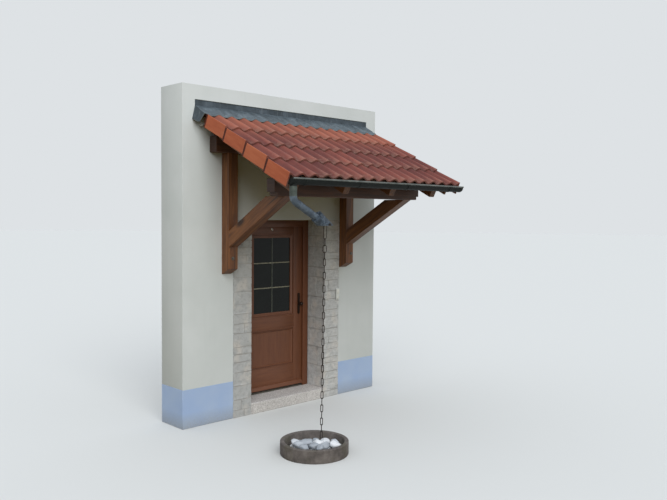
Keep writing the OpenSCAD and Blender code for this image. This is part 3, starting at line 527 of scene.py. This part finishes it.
# nodes that share a finish: material, slot, smoothing angle and bevel in metres
finishes = {
    "plinth": (plinth, "plinth_paint", 30, 0.003),
    "doorstep": (step, "cast_stone", 30, 0.004),
    "post_left post_right": (uprights, "brown_timber", 30, 0.004),
    "brace_left brace_right": (braceWood, "brown_timber", 30, 0.004),
    "rafters": (sloping, "brown_timber", 30, 0.003),
    "eave_board roof_battens": (lengthways, "raw_timber", 30, 0.001),
    "verge_boards": (sloping, "brown_timber", 30, 0.002),
    "gutter_brackets": (gutterMetal, "sheet_metal", 30, 0.0),
    "gutter_outlet": (gutterMetal, "sheet_metal", 40, 0.0),
    "rain_chain": (chainIron, "rusty_iron", 40, 0.0),
    "basin_ring": (concrete, "dark_concrete", 40, 0.006),
    "frame_hinges leaf_hinges": (hingeMetal, "dark_iron", 35, 0.0),
    "door_sill": (hingeMetal, "sill_metal", 30, 0.001),
    "door_panel": (stile, "door_wood", 30, 0.0),
    "weather_bar": (rail, "door_wood", 30, 0.001),
    "door_handles": (bronze, "dark_iron", 35, 0.001),
    "door_glass": (glass, "pane_glass", 30, 0.0),
}
for names, (material, slotName, smooth, width) in finishes.items():
    for node in names.split():
        refine(node, copyOf(node), smooth, [material], width)
print("plain nodes finished")


# purlins in darker timber as painted shade, their sawn ends in darker end grain that is partly real and
# partly painted shade
for node in ("wall_purlin", "front_purlin"):
    mesh = copyOf(node)
    paint(mesh, lambda middle, normal: 1 if abs(normal.x) > 0.8 else 0)
    refine(node, mesh, 30, [shadedPurlinWood, endGrainAndShade], 0.004)


# what belongs to some vertices or faces, each thing once and in a fixed order
def linked(items, kind):
    return list(dict.fromkeys(x for item in items for x in getattr(item, kind)))


# a plain box between two corners; gives back its edges
def addBox(mesh, low, high):
    low, high = Vector(low), Vector(high)
    place = Matrix.Translation((low + high) / 2) @ Matrix.Diagonal((*(high - low), 1))
    made = bmesh.ops.create_cube(mesh, size=1, matrix=place)
    return linked(made["verts"], "link_edges")


def easeEdges(mesh, edges, ease):
    bmesh.ops.bevel(mesh, geom=edges, affect="EDGES", offset=ease, segments=2, profile=0.5, material=-1)


# a block or board with eased edges between two corners
def addBoard(mesh, low, high, ease, index=0):
    old = set(mesh.faces)
    easeEdges(mesh, addBox(mesh, low, high), ease)
    for face in (f for f in mesh.faces if f not in old):
        face.material_index = index


# an outline pushed along a vector into a solid
def addPrism(mesh, corners, push):
    base = mesh.faces.new([mesh.verts.new(c) for c in corners])
    pushed = bmesh.ops.extrude_face_region(mesh, geom=[base])["geom"]
    bmesh.ops.translate(mesh, verts=[g for g in pushed if isinstance(g, bmesh.types.BMVert)], vec=push)


# points on a circle round a centre
def circle(centre, radius, across, upright, count):
    angles = (2 * pi * k / count for k in range(count))
    return [centre + radius * (cos(a) * across + sin(a) * upright) for a in angles]


# a round rod through the points, open or closed on itself; facing keeps its sides from twisting
def addRod(mesh, points, radius, facing, sides=8, closed=False):
    points = [Vector(p) for p in points]
    rings, count = [], len(points)
    for i, point in enumerate(points):
        before = points[i - 1] if i or closed else point
        after = points[(i + 1) % count] if i + 1 < count or closed else point
        along = (after - before).normalized()
        across = along.cross(Vector(facing)).normalized()
        upright = across.cross(along)
        rings.append([mesh.verts.new(p) for p in circle(point, radius, across, upright, sides)])
    pairs = list(zip(rings, rings[1:])) + ([(rings[-1], rings[0])] if closed else [])
    faces = [mesh.faces.new((a[k], a[(k + 1) % sides], b[(k + 1) % sides], b[k]))
             for a, b in pairs for k in range(sides)]
    if not closed:
        faces += [mesh.faces.new(rings[0][::-1]), mesh.faces.new(rings[-1])]
    bmesh.ops.recalc_face_normals(mesh, faces=faces)


# a disc with an eased rim, standing out towards the outside
def addDisc(mesh, at, radius, depth, ease, sides, index=0):
    old = set(mesh.faces)
    turned = outside.to_track_quat("Z", "Y").to_matrix().to_4x4()
    place = Matrix.Translation(Vector(at) + outside * depth / 2) @ turned
    made = bmesh.ops.create_cone(mesh, cap_ends=True, segments=sides, radius1=radius, radius2=radius,
                                 depth=depth, matrix=place)
    outer = Vector(at) + outside * depth
    easeEdges(mesh, [e for e in linked(made["verts"], "link_edges")
                     if all(abs((v.co - outer).dot(outside)) < 1e-5 for v in e.verts)], ease)
    for face in (f for f in mesh.faces if f not in old):
        face.material_index = index


# the rendered wall in one piece, so that no seam shows between its CAD parts; its foot keeps sharp edges
wall = dict(ease=0.004, foot=0.01)
leftLow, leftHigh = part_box("wall_left")
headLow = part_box("wall_over_door")[0]
rightLow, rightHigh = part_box("wall_right")
outline = [
    (leftLow.x, leftLow.z), (leftHigh.x, leftLow.z), (leftHigh.x, headLow.z), (rightLow.x, headLow.z),
    (rightLow.x, leftLow.z), (rightHigh.x, leftLow.z), (rightHigh.x, leftHigh.z), (leftLow.x, leftHigh.z),
]
wallMesh = bmesh.new()
addPrism(wallMesh, [(x, leftLow.y, z) for x, z in outline], (0, leftHigh.y - leftLow.y, 0))
bmesh.ops.recalc_face_normals(wallMesh, faces=wallMesh.faces)
outerEdges = [e for e in wallMesh.edges if all(v.co.z > leftLow.z + wall["foot"] for v in e.verts) or
              all(abs(abs(v.co.x) - rightHigh.x) < near for v in e.verts)]
easeEdges(wallMesh, outerEdges, wall["ease"])
addPiece("wall_fine", wallMesh, 30, [render],
         replaced=["wall_left", "wall_right", "wall_over_door"])

# facing stones: split blocks in courses of many heights on a mortar bed, those in front over the others' ends
facing = dict(
    front=(0.062, 0.152), reveal=(0.11, 0.26), least=0.06, stepTop=0.12, thick=0.015,
    joint=0.007, sink=0.0128, tilt=0.001, cuts=4, relief=0.0058, deep=0.42, swing=0.9,
    waves=((21, 0.4), (60, 0.25)), ragged=0.0025, rags=33, paired=0.22, shortest=0.08,
    split=(0.1, 0.24), sliver=0.02, ease=0.0012,
)


# one block, set back by a chance amount, with a rough face and ragged edges
def addStone(mesh, low, high, outward, chance):
    tone = mesh.verts.layers.float["tone"]
    old = set(mesh.verts)
    edges = addBox(mesh, low, high)
    bmesh.ops.subdivide_edges(mesh, edges=edges, cuts=facing["cuts"], use_grid_fill=True)
    middle = (Vector(low) + Vector(high)) / 2
    own, inset = chance.random(), chance.uniform(0, facing["tilt"] * 2)
    for vert in (v for v in mesh.verts if v not in old):
        vert[tone] = own
        wave = sum(noise.noise(vert.co * scale) * share for scale, share in facing["waves"])
        outer = (vert.co - middle).dot(outward) > 0
        if outer:
            vert.co -= outward * (inset + facing["relief"] * (facing["deep"] + wave * facing["swing"]))
        toward = middle - vert.co
        toward -= outward * toward.dot(outward)
        if outer and toward.length > 0:
            uneven = 0.5 + noise.noise(vert.co * facing["rags"] + Vector((7, 3, 1)))
            vert.co += toward.normalized() * facing["ragged"] * uneven


for side, node in ((-1, "jamb_stone_left"), (1, "jamb_stone_right")):
    chance = random.Random(node)
    low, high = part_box(node)
    inner, outer = sorted((abs(low.x), abs(high.x)))
    behind, bed, gap = inner + facing["thick"], facing["sink"], facing["joint"] / 2
    stones = bmesh.new()
    stones.verts.layers.float.new("tone")
    plan = [(inner + bed, low.y + bed), (outer - bed, low.y + bed), (outer - bed, 0), (behind, 0),
            (behind, high.y), (inner + bed, high.y)]
    addPrism(stones, [(side * x, y, 0.0) for x, y in plan], (0, 0, high.z - near))
    paint(stones, lambda middle, normal: 1)
    # in the reveal the bed starts on the doorstep
    for vert in stones.verts:
        if vert.co.z < near < vert.co.y:
            vert.co.z = facing["stepTop"] + near
    bmesh.ops.recalc_face_normals(stones, faces=stones.faces)
    for part, z in (("front", low.z), ("reveal", facing["stepTop"])):
        while z < high.z - facing["sliver"]:
            tall = chance.uniform(*facing[part])
            top = high.z if z + tall > high.z - facing["least"] else z + tall
            if part == "front":
                cuts = [inner, outer]
                if chance.random() < facing["paired"]:
                    cuts.insert(1, chance.uniform(inner + facing["shortest"], outer - facing["shortest"]))
                for a, b in zip(cuts, cuts[1:]):
                    ends = (a if a == inner else a + gap, b if b == outer else b - gap)
                    xs = sorted(side * e for e in ends)
                    addStone(stones, (xs[0], low.y, z + gap), (xs[1], 0.0, top - gap), outside, chance)
            else:
                xs = sorted((side * inner, side * behind))
                split = chance.uniform(*facing["split"])
                for a, b in ((0.0, split), (split, high.y)):
                    addStone(stones, (xs[0], a + gap, z + gap), (xs[1], b - gap, top - gap),
                             Vector((-side, 0, 0)), chance)
            z = top
    refine(node, stones, 50, [stone, mortar], facing["ease"], 1, 50)
print("walls and stones made")

# door frame: two posts and a head between them, each with the rebate that the leaf closes on
surround = dict(inner=0.45, rebate=0.467, lip=0.285, head=2.04, rebateTop=2.057, ease=0.0018)
low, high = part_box("door_frame")
frameMesh = bmesh.new()
steps = ((surround["inner"], surround["head"], low.y, surround["lip"]),
         (surround["rebate"], surround["rebateTop"], surround["lip"], high.y))
for side in (-1, 1):
    for inner, _, start, end in steps:
        xs = sorted((side * inner, side * high.x))
        addBoard(frameMesh, (xs[0], start, low.z), (xs[1], end, high.z), surround["ease"])
for inner, under, start, end in steps:
    addBoard(frameMesh, (-inner, start, under), (inner, end, high.z), surround["ease"], 1)
refine("door_frame", frameMesh, 30, [stile, rail])

# door leaf: stiles and rails as boards with eased edges, mitred ogee mouldings on both sides
leaf = dict(ease=0.0018, halfOpening=0.32, panel=(0.4, 0.844), glass=(0.99, 1.96), lying=0.1)
half = leaf["halfOpening"]
low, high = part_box("leaf_frame")
leafMesh = bmesh.new()
for a, b in ((low.x, -half), (half, high.x)):
    addBoard(leafMesh, (a, low.y, low.z), (b, high.y, high.z), leaf["ease"])
for a, b in ((low.z, leaf["panel"][0]), (leaf["panel"][1], leaf["glass"][0]), (leaf["glass"][1], high.z)):
    addBoard(leafMesh, (-half, low.y, a), (half, high.y, b), leaf["ease"], 1)
refine("leaf_frame", leafMesh, 30, [stile, rail])

# the mouldings' sections: each point is its distance in from the edge of the opening and its depth
sections = dict(
    frontGlass=[(0.0, 0.309), (0.0, 0.2885), (0.0015, 0.287), (0.011, 0.287), (0.013, 0.2885),
                (0.0135, 0.2975), (0.0155, 0.2975), (0.0175, 0.2945), (0.022, 0.2935), (0.028, 0.2955),
                (0.034, 0.3), (0.0385, 0.3035), (0.044, 0.3045), (0.05, 0.3045), (0.05, 0.312)],
    backGlass=[(0.0, 0.336), (0.0, 0.358), (0.012, 0.358), (0.016, 0.355), (0.034, 0.351),
               (0.042, 0.344), (0.05, 0.343), (0.05, 0.336)],
    frontPanel=[(0.0, 0.309), (0.0, 0.2885), (0.0015, 0.287), (0.008, 0.287), (0.01, 0.2885),
                (0.0105, 0.2995), (0.0125, 0.2995), (0.0145, 0.2955), (0.019, 0.2945), (0.024, 0.2975),
                (0.028, 0.3035), (0.0315, 0.3065), (0.036, 0.307), (0.036, 0.309)],
    backPanel=[(0.0, 0.339), (0.0, 0.358), (0.009, 0.358), (0.012, 0.355), (0.024, 0.352),
               (0.03, 0.346), (0.036, 0.345), (0.036, 0.339)],
)
mouldings = bmesh.new()
for name, section in sections.items():
    bottom, top = leaf["glass" if "Glass" in name else "panel"]
    loops = []
    for inset, y in section:
        x, z0, z1 = half - inset, bottom + inset, top - inset
        loops.append([mouldings.verts.new(c) for c in ((-x, y, z0), (x, y, z0), (x, y, z1), (-x, y, z1))])
    for a, b in zip(loops, loops[1:] + loops[:1]):
        for i in range(4):
            mouldings.faces.new((a[i], a[(i + 1) % 4], b[(i + 1) % 4], b[i]))
bmesh.ops.recalc_face_normals(mouldings, faces=mouldings.faces)
paint(mouldings, lambda middle, normal: 1 if abs(middle.x) < leaf["lying"] else 0)
refine("leaf_mouldings", mouldings, 28, [stile, rail])

# glazing bars: the upright one is darker than the two that lie, painted shade beside the lit tops of the
# lying ones
bar = dict(half=0.006, slack=0.0001)
bars = copyOf("glass_bars")
for x in (-bar["half"], bar["half"]):
    cutAlong(bars, (x, 0, 0), (1, 0, 0))
paint(bars, lambda middle, normal: 1 if abs(middle.x) < bar["half"] + bar["slack"] else 0)
refine("glass_bars", bars, None, [barMetal, shadedUprightMetal])

# lock details on the handle plate; discs are given by radius, depth, ease and number of sides
lock = dict(
    x=0.397, face=0.284, screwsAt=(1.227, 1.009), screw=(0.0055, 0.0015, 0.0006, 16),
    barrelAt=1.045, barrel=(0.0085, 0.0035, 0.001, 24),
    bladeHalf=0.0015, bladeDepth=0.0042, bladeZ=(1.026, 1.05), bladeEase=0.0006,
)
lockMesh = bmesh.new()
for z in lock["screwsAt"]:
    addDisc(lockMesh, (lock["x"], lock["face"], z), *lock["screw"])
addDisc(lockMesh, (lock["x"], lock["face"], lock["barrelAt"]), *lock["barrel"])
addBoard(lockMesh, (lock["x"] - lock["bladeHalf"], lock["face"] - lock["bladeDepth"], lock["bladeZ"][0]),
         (lock["x"] + lock["bladeHalf"], lock["face"], lock["bladeZ"][1]), lock["bladeEase"])
addPiece("lock_details", lockMesh, 35, [bronze], "door_leaf")

# small hook on the top rail of the leaf
hook = dict(
    x=-0.021, face=0.29, z=2.012, plate=(0.011, 0.002, 0.0008, 20),
    root=0.001, reach=0.012, drop=0.014, wire=0.0022,
)
hookMesh = bmesh.new()
addDisc(hookMesh, (hook["x"], hook["face"], hook["z"]), *hook["plate"])
front = hook["face"] - hook["plate"][1]
bend = [(hook["x"], hook["face"] - hook["root"], hook["z"] + hook["root"])]
for a in (pi * k / 10 for k in range(1, 11)):
    bend.append((hook["x"], front - hook["reach"] * (1 - cos(a)), hook["z"] - hook["drop"] * sin(a)))
addRod(hookMesh, bend, hook["wire"], (1, 0, 0), 10)
addPiece("leaf_hook", hookMesh, 40, [bellButton], "door_leaf")

# doorbell: cover, blank name field above and push button below
bell = dict(
    ease=0.003, edge=0.004, deep=0.006, end=0.005, above=0.006, below=0.004,
    fieldEase=0.0015, lower=0.0015, buttonAt=0.034, button=(0.013, 0.0015, 0.0007, 28),
)
low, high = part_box("doorbell")
middle = (low + high) / 2
left, right, back = low.x + bell["edge"], high.x - bell["edge"], low.y + bell["deep"]
bellMesh = bmesh.new()
addBoard(bellMesh, (low.x, low.y + bell["edge"], low.z), high, bell["ease"])
addBoard(bellMesh, (left, low.y, middle.z + bell["above"]), (right, back, high.z - bell["end"]),
         bell["fieldEase"], 1)
addBoard(bellMesh, (left, low.y + bell["lower"], low.z + bell["end"]),
         (right, back, middle.z - bell["below"]), bell["fieldEase"])
addDisc(bellMesh, (middle.x, low.y + bell["lower"], low.z + bell["buttonAt"]), *bell["button"], 1)
refine("doorbell", bellMesh, 35, [bellCover, bellButton])
print("door and bell made")

# gutter with its front bead paler: painted highlight
bead = dict(y=-1.4585, z=2.492)
gutterMesh = copyOf("gutter")
paint(gutterMesh, lambda middle, normal: 1 if middle.y < bead["y"] and middle.z > bead["z"] else 0)
refine("gutter", gutterMesh, 40, [gutterMetal, highlightMetal])

# spout with rusted nuts, a darker streaked mouth, a greenish elbow and soldered seams round the pipe
spout = dict(
    start=(-1.1635, -1.413, 2.309), end=(-0.8959, -1.413, 2.1607), radius=0.0345, elbowZ=2.35,
    bolt=(-0.776, 2.097), nut=0.017, seams=(0.2, 0.62), seam=0.0022,
)


def spoutPart(middle, normal):
    if hypot(middle.x - spout["bolt"][0], middle.z - spout["bolt"][1]) < spout["nut"]:
        return 1
    return 2 if middle.x > spout["end"][0] else 3 if middle.z > spout["elbowZ"] else 0


spoutMesh = copyOf("spout_pipe")
paint(spoutMesh, spoutPart)
runFrom, runTo = Vector(spout["start"]), Vector(spout["end"])
along = (runTo - runFrom).normalized()
across, beside = Vector((0, 1, 0)), along.cross(Vector((0, 1, 0)))
for share in spout["seams"]:
    seam = circle(runFrom.lerp(runTo, share), spout["radius"], across, beside, 32)
    addRod(spoutMesh, seam, spout["seam"], along, closed=True)
refine("spout_pipe", spoutMesh, 40, [spoutMetal, nutIron, mouthMetal, elbowMetal])

# flashing: the apron duller and paler than the upstand, its paleness painted light on the faces that look up,
# with more runs; its free edge dressed into the tile hollows
dressed = dict(step=0.022, edge=-0.1705, underside=3.1734, above=0.08, clear=0.003, most=0.019)
under = bmesh.new()
for node in ("tile_course_4", "verge_tiles_left", "verge_tiles_right"):
    under.from_mesh(nodes[node].data)
tiles = BVHTree.FromBMesh(under)


# how far the free edge is dressed down at a place along the wall
def dropAt(x):
    start = Vector((x, dressed["edge"], dressed["underside"] + dressed["above"]))
    found = tiles.ray_cast(start, Vector((0, 0, -1)))[0]
    gap = dressed["underside"] - found.z - dressed["clear"] if found else 0.0
    return min(max(gap, 0.0), dressed["most"])


flashingMesh = copyOf("wall_flashing")
low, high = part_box("wall_flashing")
cutsAt = [low.x + number * dressed["step"] for number in range(2, int((high.x - low.x) / dressed["step"]))]
for x in cutsAt:
    front = [f for f in flashingMesh.faces
             if min(v.co.y for v in f.verts) < dressed["edge"] and abs(f.normal.x) < 0.5]
    part = front + linked(front, "edges") + linked(front, "verts")
    cutAlong(flashingMesh, (x, 0, 0), (1, 0, 0), part)
# painted light: faces that look up get the paler apron metal
paint(flashingMesh, lambda middle, normal: 1 if normal.z > 0.6 else 0)
for vert in flashingMesh.verts:
    if vert.co.y < dressed["edge"]:
        vert.co.z -= dropAt(vert.co.x)
refine("wall_flashing", flashingMesh, 40, [flashing, litApron])

# folded hems along the edges of the flashing
hem = dict(
    left=[(-1.2845, -0.004, 3.1335), (-1.2825, -0.0787, 3.1025), (-1.278, -0.1245, 3.0945),
          (-1.253, -0.1705, 3.1745)],
    right=[(1.234, -0.004, 3.129), (1.234, -0.0767, 3.0992), (1.234, -0.1225, 3.0915),
           (1.234, -0.1705, 3.1745)],
    ends=(-1.252, 1.233), front=(-0.1705, 3.1745), top=(-0.0045, 3.3295),
    sideRadius=0.0026, frontRadius=0.0032, topRadius=0.0035,
)
hems = bmesh.new()
for edge in ("left", "right"):
    addRod(hems, hem[edge], hem["sideRadius"], (1, 0, 0))
y, z = hem["front"]
freeEdge = [(x, y, z - dropAt(x)) for x in [hem["ends"][0]] + cutsAt + [hem["ends"][1]]]
addRod(hems, freeEdge, hem["frontRadius"], (0, 0, 1))
addRod(hems, [(x, *hem["top"]) for x in hem["ends"]], hem["topRadius"], (0, 0, 1))
# the hems in the bead's paler metal: painted highlight along the edges
addPiece("flashing_hems", hems, 60, [highlightMetal])

# coach bolts through the feet of the posts: hexagon head on a washer
bolt = dict(x=0.871, y=-0.12, z=1.7225, washer=(0.0185, 0.003, 0.0008, 28), head=(0.0135, 0.01, 0.0015, 6))
bolts = bmesh.new()
for x in (-bolt["x"], bolt["x"]):
    addDisc(bolts, (x, bolt["y"], bolt["z"]), *bolt["washer"])
    addDisc(bolts, (x, bolt["y"] - bolt["washer"][1], bolt["z"]), *bolt["head"])
addPiece("post_bolts", bolts, 35, [hingeMetal])

# a dab of mortar at the top of the left verge
dab = dict(at=(-1.207, -0.05, 3.075), radius=0.014, lumps=0.006, spacing=60)
dabMesh = bmesh.new()
place = Matrix.Translation(dab["at"])
for vert in bmesh.ops.create_icosphere(dabMesh, subdivisions=3, radius=dab["radius"], matrix=place)["verts"]:
    vert.co += vert.normal * dab["lumps"] * noise.noise(vert.co * dab["spacing"])
addPiece("mortar_dab", dabMesh, 60, [mortar])
print("metalwork made")

# roof boards with a groove between them, laid along the wall and cut off at it
deck = dict(boards=12, length=1.4885, foot=(0, -1.3288, 2.4896), thick=0.022, groove=0.004, gap=0.0002)
low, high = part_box("roof_boards")
deckMesh = bmesh.new()
laid = Matrix.Translation(deck["foot"]) @ Matrix.Rotation(radians(roofSlope), 4, "X")
width = deck["length"] / deck["boards"]
for number in range(deck["boards"]):
    old = set(deckMesh.verts)
    addBoard(deckMesh, (low.x, number * width + deck["gap"], -deck["thick"]),
             (high.x, (number + 1) * width - deck["gap"], 0.0), deck["groove"])
    bmesh.ops.transform(deckMesh, matrix=laid, verts=[v for v in deckMesh.verts if v not in old])
cut = cutAlong(deckMesh, (0, high.y, 0), (0, 1, 0), clear_outer=True)["geom_cut"]
bmesh.ops.holes_fill(deckMesh, edges=[g for g in cut if isinstance(g, bmesh.types.BMEdge)], sides=0)
refine("roof_boards", deckMesh, 30, [boards])

# basin: a heap of rolled and broken stones, higher towards the front left
heap = dict(
    at=(-0.8976, -1.42), inner=0.262, bed=0.03, back=0.06, front=0.12, lean=(-0.69, -0.72),
    sizes=(0.04, 0.068), lower=0.9, tries=900, apart=0.86, bare=0.3, skipped=0.25,
    flats=7, flatAt=(0.62, 0.85), flatness=0.85, bumps=0.13, bumpScale=1.3, lie=0.4,
    stretch=((0.95, 1.2), (0.75, 1.0), (0.55, 0.75)), floor=0.002,
)
heapMesh = bmesh.new()
tone = heapMesh.verts.layers.float.new("tone")
chance = random.Random("heap")
placed = []
for layer in (0, 1):
    for _ in range(heap["tries"]):
        size = chance.uniform(*heap["sizes"]) * (1.0 if layer else heap["lower"])
        angle, distance = chance.uniform(0, 2 * pi), sqrt(chance.random()) * (heap["inner"] - size)
        x, y = distance * cos(angle), distance * sin(angle)
        if any(l == layer and hypot(x - a, y - b) < heap["apart"] * (size + s) for a, b, s, l in placed):
            continue
        forward = (x * heap["lean"][0] + y * heap["lean"][1]) / heap["inner"] * 0.5 + 0.5
        if layer and (forward < heap["bare"] or chance.random() < heap["skipped"]):
            continue
        placed.append((x, y, size, layer))
        level = heap["back"] + (heap["front"] - heap["back"]) * forward if layer else heap["bed"]
        made = bmesh.ops.create_icosphere(heapMesh, subdivisions=3, radius=size)["verts"]
        flats = [Vector((chance.uniform(-1, 1), chance.uniform(-1, 1), chance.uniform(-0.7, 1))).normalized()
                 for _ in range(heap["flats"])]
        depths = [chance.uniform(*heap["flatAt"]) * size for _ in flats]
        own = chance.random()
        stretch = Vector([chance.uniform(*limits) for limits in heap["stretch"]])
        spin = Matrix.Rotation(chance.uniform(0, pi), 3, "Z")
        spin = spin @ Matrix.Rotation(chance.uniform(-heap["lie"], heap["lie"]), 3, "X")
        offset = Vector((chance.random(), chance.random(), chance.random())) * 9
        centre = Vector((heap["at"][0] + x, heap["at"][1] + y, level))
        for vert in made:
            for flat, depth in zip(flats, depths):
                over = vert.co.dot(flat) - depth
                if over > 0:
                    vert.co -= flat * over * heap["flatness"]
            bump = noise.noise(vert.co / size * heap["bumpScale"] + offset)
            vert.co += vert.co.normalized() * size * heap["bumps"] * bump
            vert.co = spin @ (vert.co * stretch) + centre
            vert.co.z = max(vert.co.z, heap["floor"])
            vert[tone] = own
refine("basin_stones", heapMesh, 60, [pebble])
print("roof boards and stones made")

# roof tiles: each keeps its CAD place to within a millimetre or two, with a tone of its own
tileFit = dict(
    wear=0.03, roll=0.032, bevel=0.0035, turn=0.12, flap=0.022, joint=0.03, back=0.005, end=0.002,
)
slopeAngle = radians(roofSlope)
upSlope = Vector((0, cos(slopeAngle), sin(slopeAngle)))
offSlope = Vector((0, -sin(slopeAngle), cos(slopeAngle)))


# the upper end of each flap steps back under the next one, and a strip of it gets the dark clay as painted
# shade
def stepFlaps(mesh, outerX, vergeSide):
    for solid in solidsOf(mesh):
        flapEnd = max(v.co.dot(upSlope) for v in solid if abs(v.co.x - outerX) < near)
        shadeFrom = flapEnd - tileFit["joint"]
        part = solid + linked(solid, "link_edges") + linked(solid, "link_faces")
        cutAlong(mesh, upSlope * shadeFrom, upSlope, part)
        for vert in solid:
            if abs(vert.co.x - outerX) < near and vert.co.dot(upSlope) > flapEnd - tileFit["end"]:
                vert.co.x -= vergeSide * tileFit["back"]
        for face in linked(solid, "link_faces"):
            centre = face.calc_center_median()
            onFlap = (centre.x - outerX) * vergeSide + tileFit["flap"] > 0 and abs(face.normal.x) > 0.6
            face.material_index = (2 if centre.dot(upSlope) > shadeFrom else 1) if onFlap else 0


def tileCourse(node, materials, jitter, vergeSide=0):
    chance = random.Random(node)
    mesh = copyOf(node)
    tone, tail, crest = (mesh.verts.layers.float.new(name) for name in ("tone", "tail", "crest"))
    for solid in solidsOf(mesh):
        own = chance.random()
        places = [v.co.dot(upSlope) for v in solid]
        heights = [v.co.dot(offSlope) for v in solid]
        middle = sum((v.co for v in solid), Vector()) / len(solid)
        turnBy = Matrix.Rotation(radians(chance.uniform(-jitter, jitter)), 3, offSlope)
        start, top = min(places), max(heights)
        for vert, place, rise in zip(solid, places, heights):
            vert[tone] = own
            vert[tail] = max(0.0, 1 - (place - start) / tileFit["wear"])
            vert[crest] = max(0.0, 1 - (top - rise) / tileFit["roll"])
            vert.co = middle + turnBy @ (vert.co - middle)
    if vergeSide:
        low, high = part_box(node)
        stepFlaps(mesh, low.x if vergeSide < 0 else high.x, vergeSide)
    refine(node, mesh, 38, materials, tileFit["bevel"], 2, 40)


for number in range(1, 5):
    tileCourse(f"tile_course_{number}", [fieldClay], tileFit["turn"])
for side, vergeSide in (("left", -1), ("right", 1)):
    tileCourse("verge_tiles_" + side, [fieldClay, vergeClay, shadeClay], 0.0, vergeSide)
print("tiles laid")

# floor, world and lamp
stage = dict(
    floor="#D5D7D6", bounce="#6E6033", reach=90, overhead=1.0, level=0.55, pale="#DEE2E5",
    keyFrom=(-0.42, -0.72, 0.55), key=1.95, keySpread=48, keyColour="#FFFEFB", sky="#F3F8FF",
)
floorMesh = bmesh.new()
bmesh.ops.create_circle(floorMesh, cap_ends=True, segments=64, radius=stage["reach"])
floorData = bpy.data.meshes.new("floor")
floorMesh.to_mesh(floorData)
floorMesh.free()
floor = bpy.data.objects.new("floor", floorData)
scene.collection.objects.link(floor)


# 1 where the camera, a reflection or a view through glass meets the stage, 0 for plain lighting
def seenDirectly(add):
    path = add("LightPath").outputs
    seen = add("Math", {0: path["Is Camera Ray"], 1: path["Is Glossy Ray"]}, operation="ADD")
    return add("Math", {0: seen, 1: path["Is Transmission Ray"]}, operation="ADD", use_clamp=True)


material, add = startMaterial("paleFloor", {"Roughness": 1.0, "Specular IOR Level": 0.0})
floorTone = add("Mix", {0: seenDirectly(add), 6: stage["bounce"], 7: stage["floor"]}, data_type="RGBA")
floorData.materials.append(finish(material, add, floorTone))

world = bpy.data.worlds.new("studio")
scene.world = world
world.use_nodes = True
world.node_tree.nodes.clear()
add = partial(addNode, world.node_tree)
height = add("SeparateXYZ", add("TexCoord").outputs["Generated"]).outputs[2]
dome = add("MapRange", {"To Min": stage["level"], "To Max": stage["overhead"]}, Value=height)
lit = add("Background", Color=stage["sky"], Strength=dome)
pale = add("Background", Color=stage["pale"], Strength=1.0)
add("OutputWorld", Surface=add("MixShader", {0: seenDirectly(add), 1: lit, 2: pale}))

key = bpy.data.lights.new("key", "SUN")
key.energy = stage["key"]
key.angle = radians(stage["keySpread"])
key.color = linear(stage["keyColour"])[:3]
holder = bpy.data.objects.new("key", key)
holder.rotation_euler = Vector(stage["keyFrom"]).to_track_quat("Z", "Y").to_euler()
scene.collection.objects.link(holder)
print("stage lit")
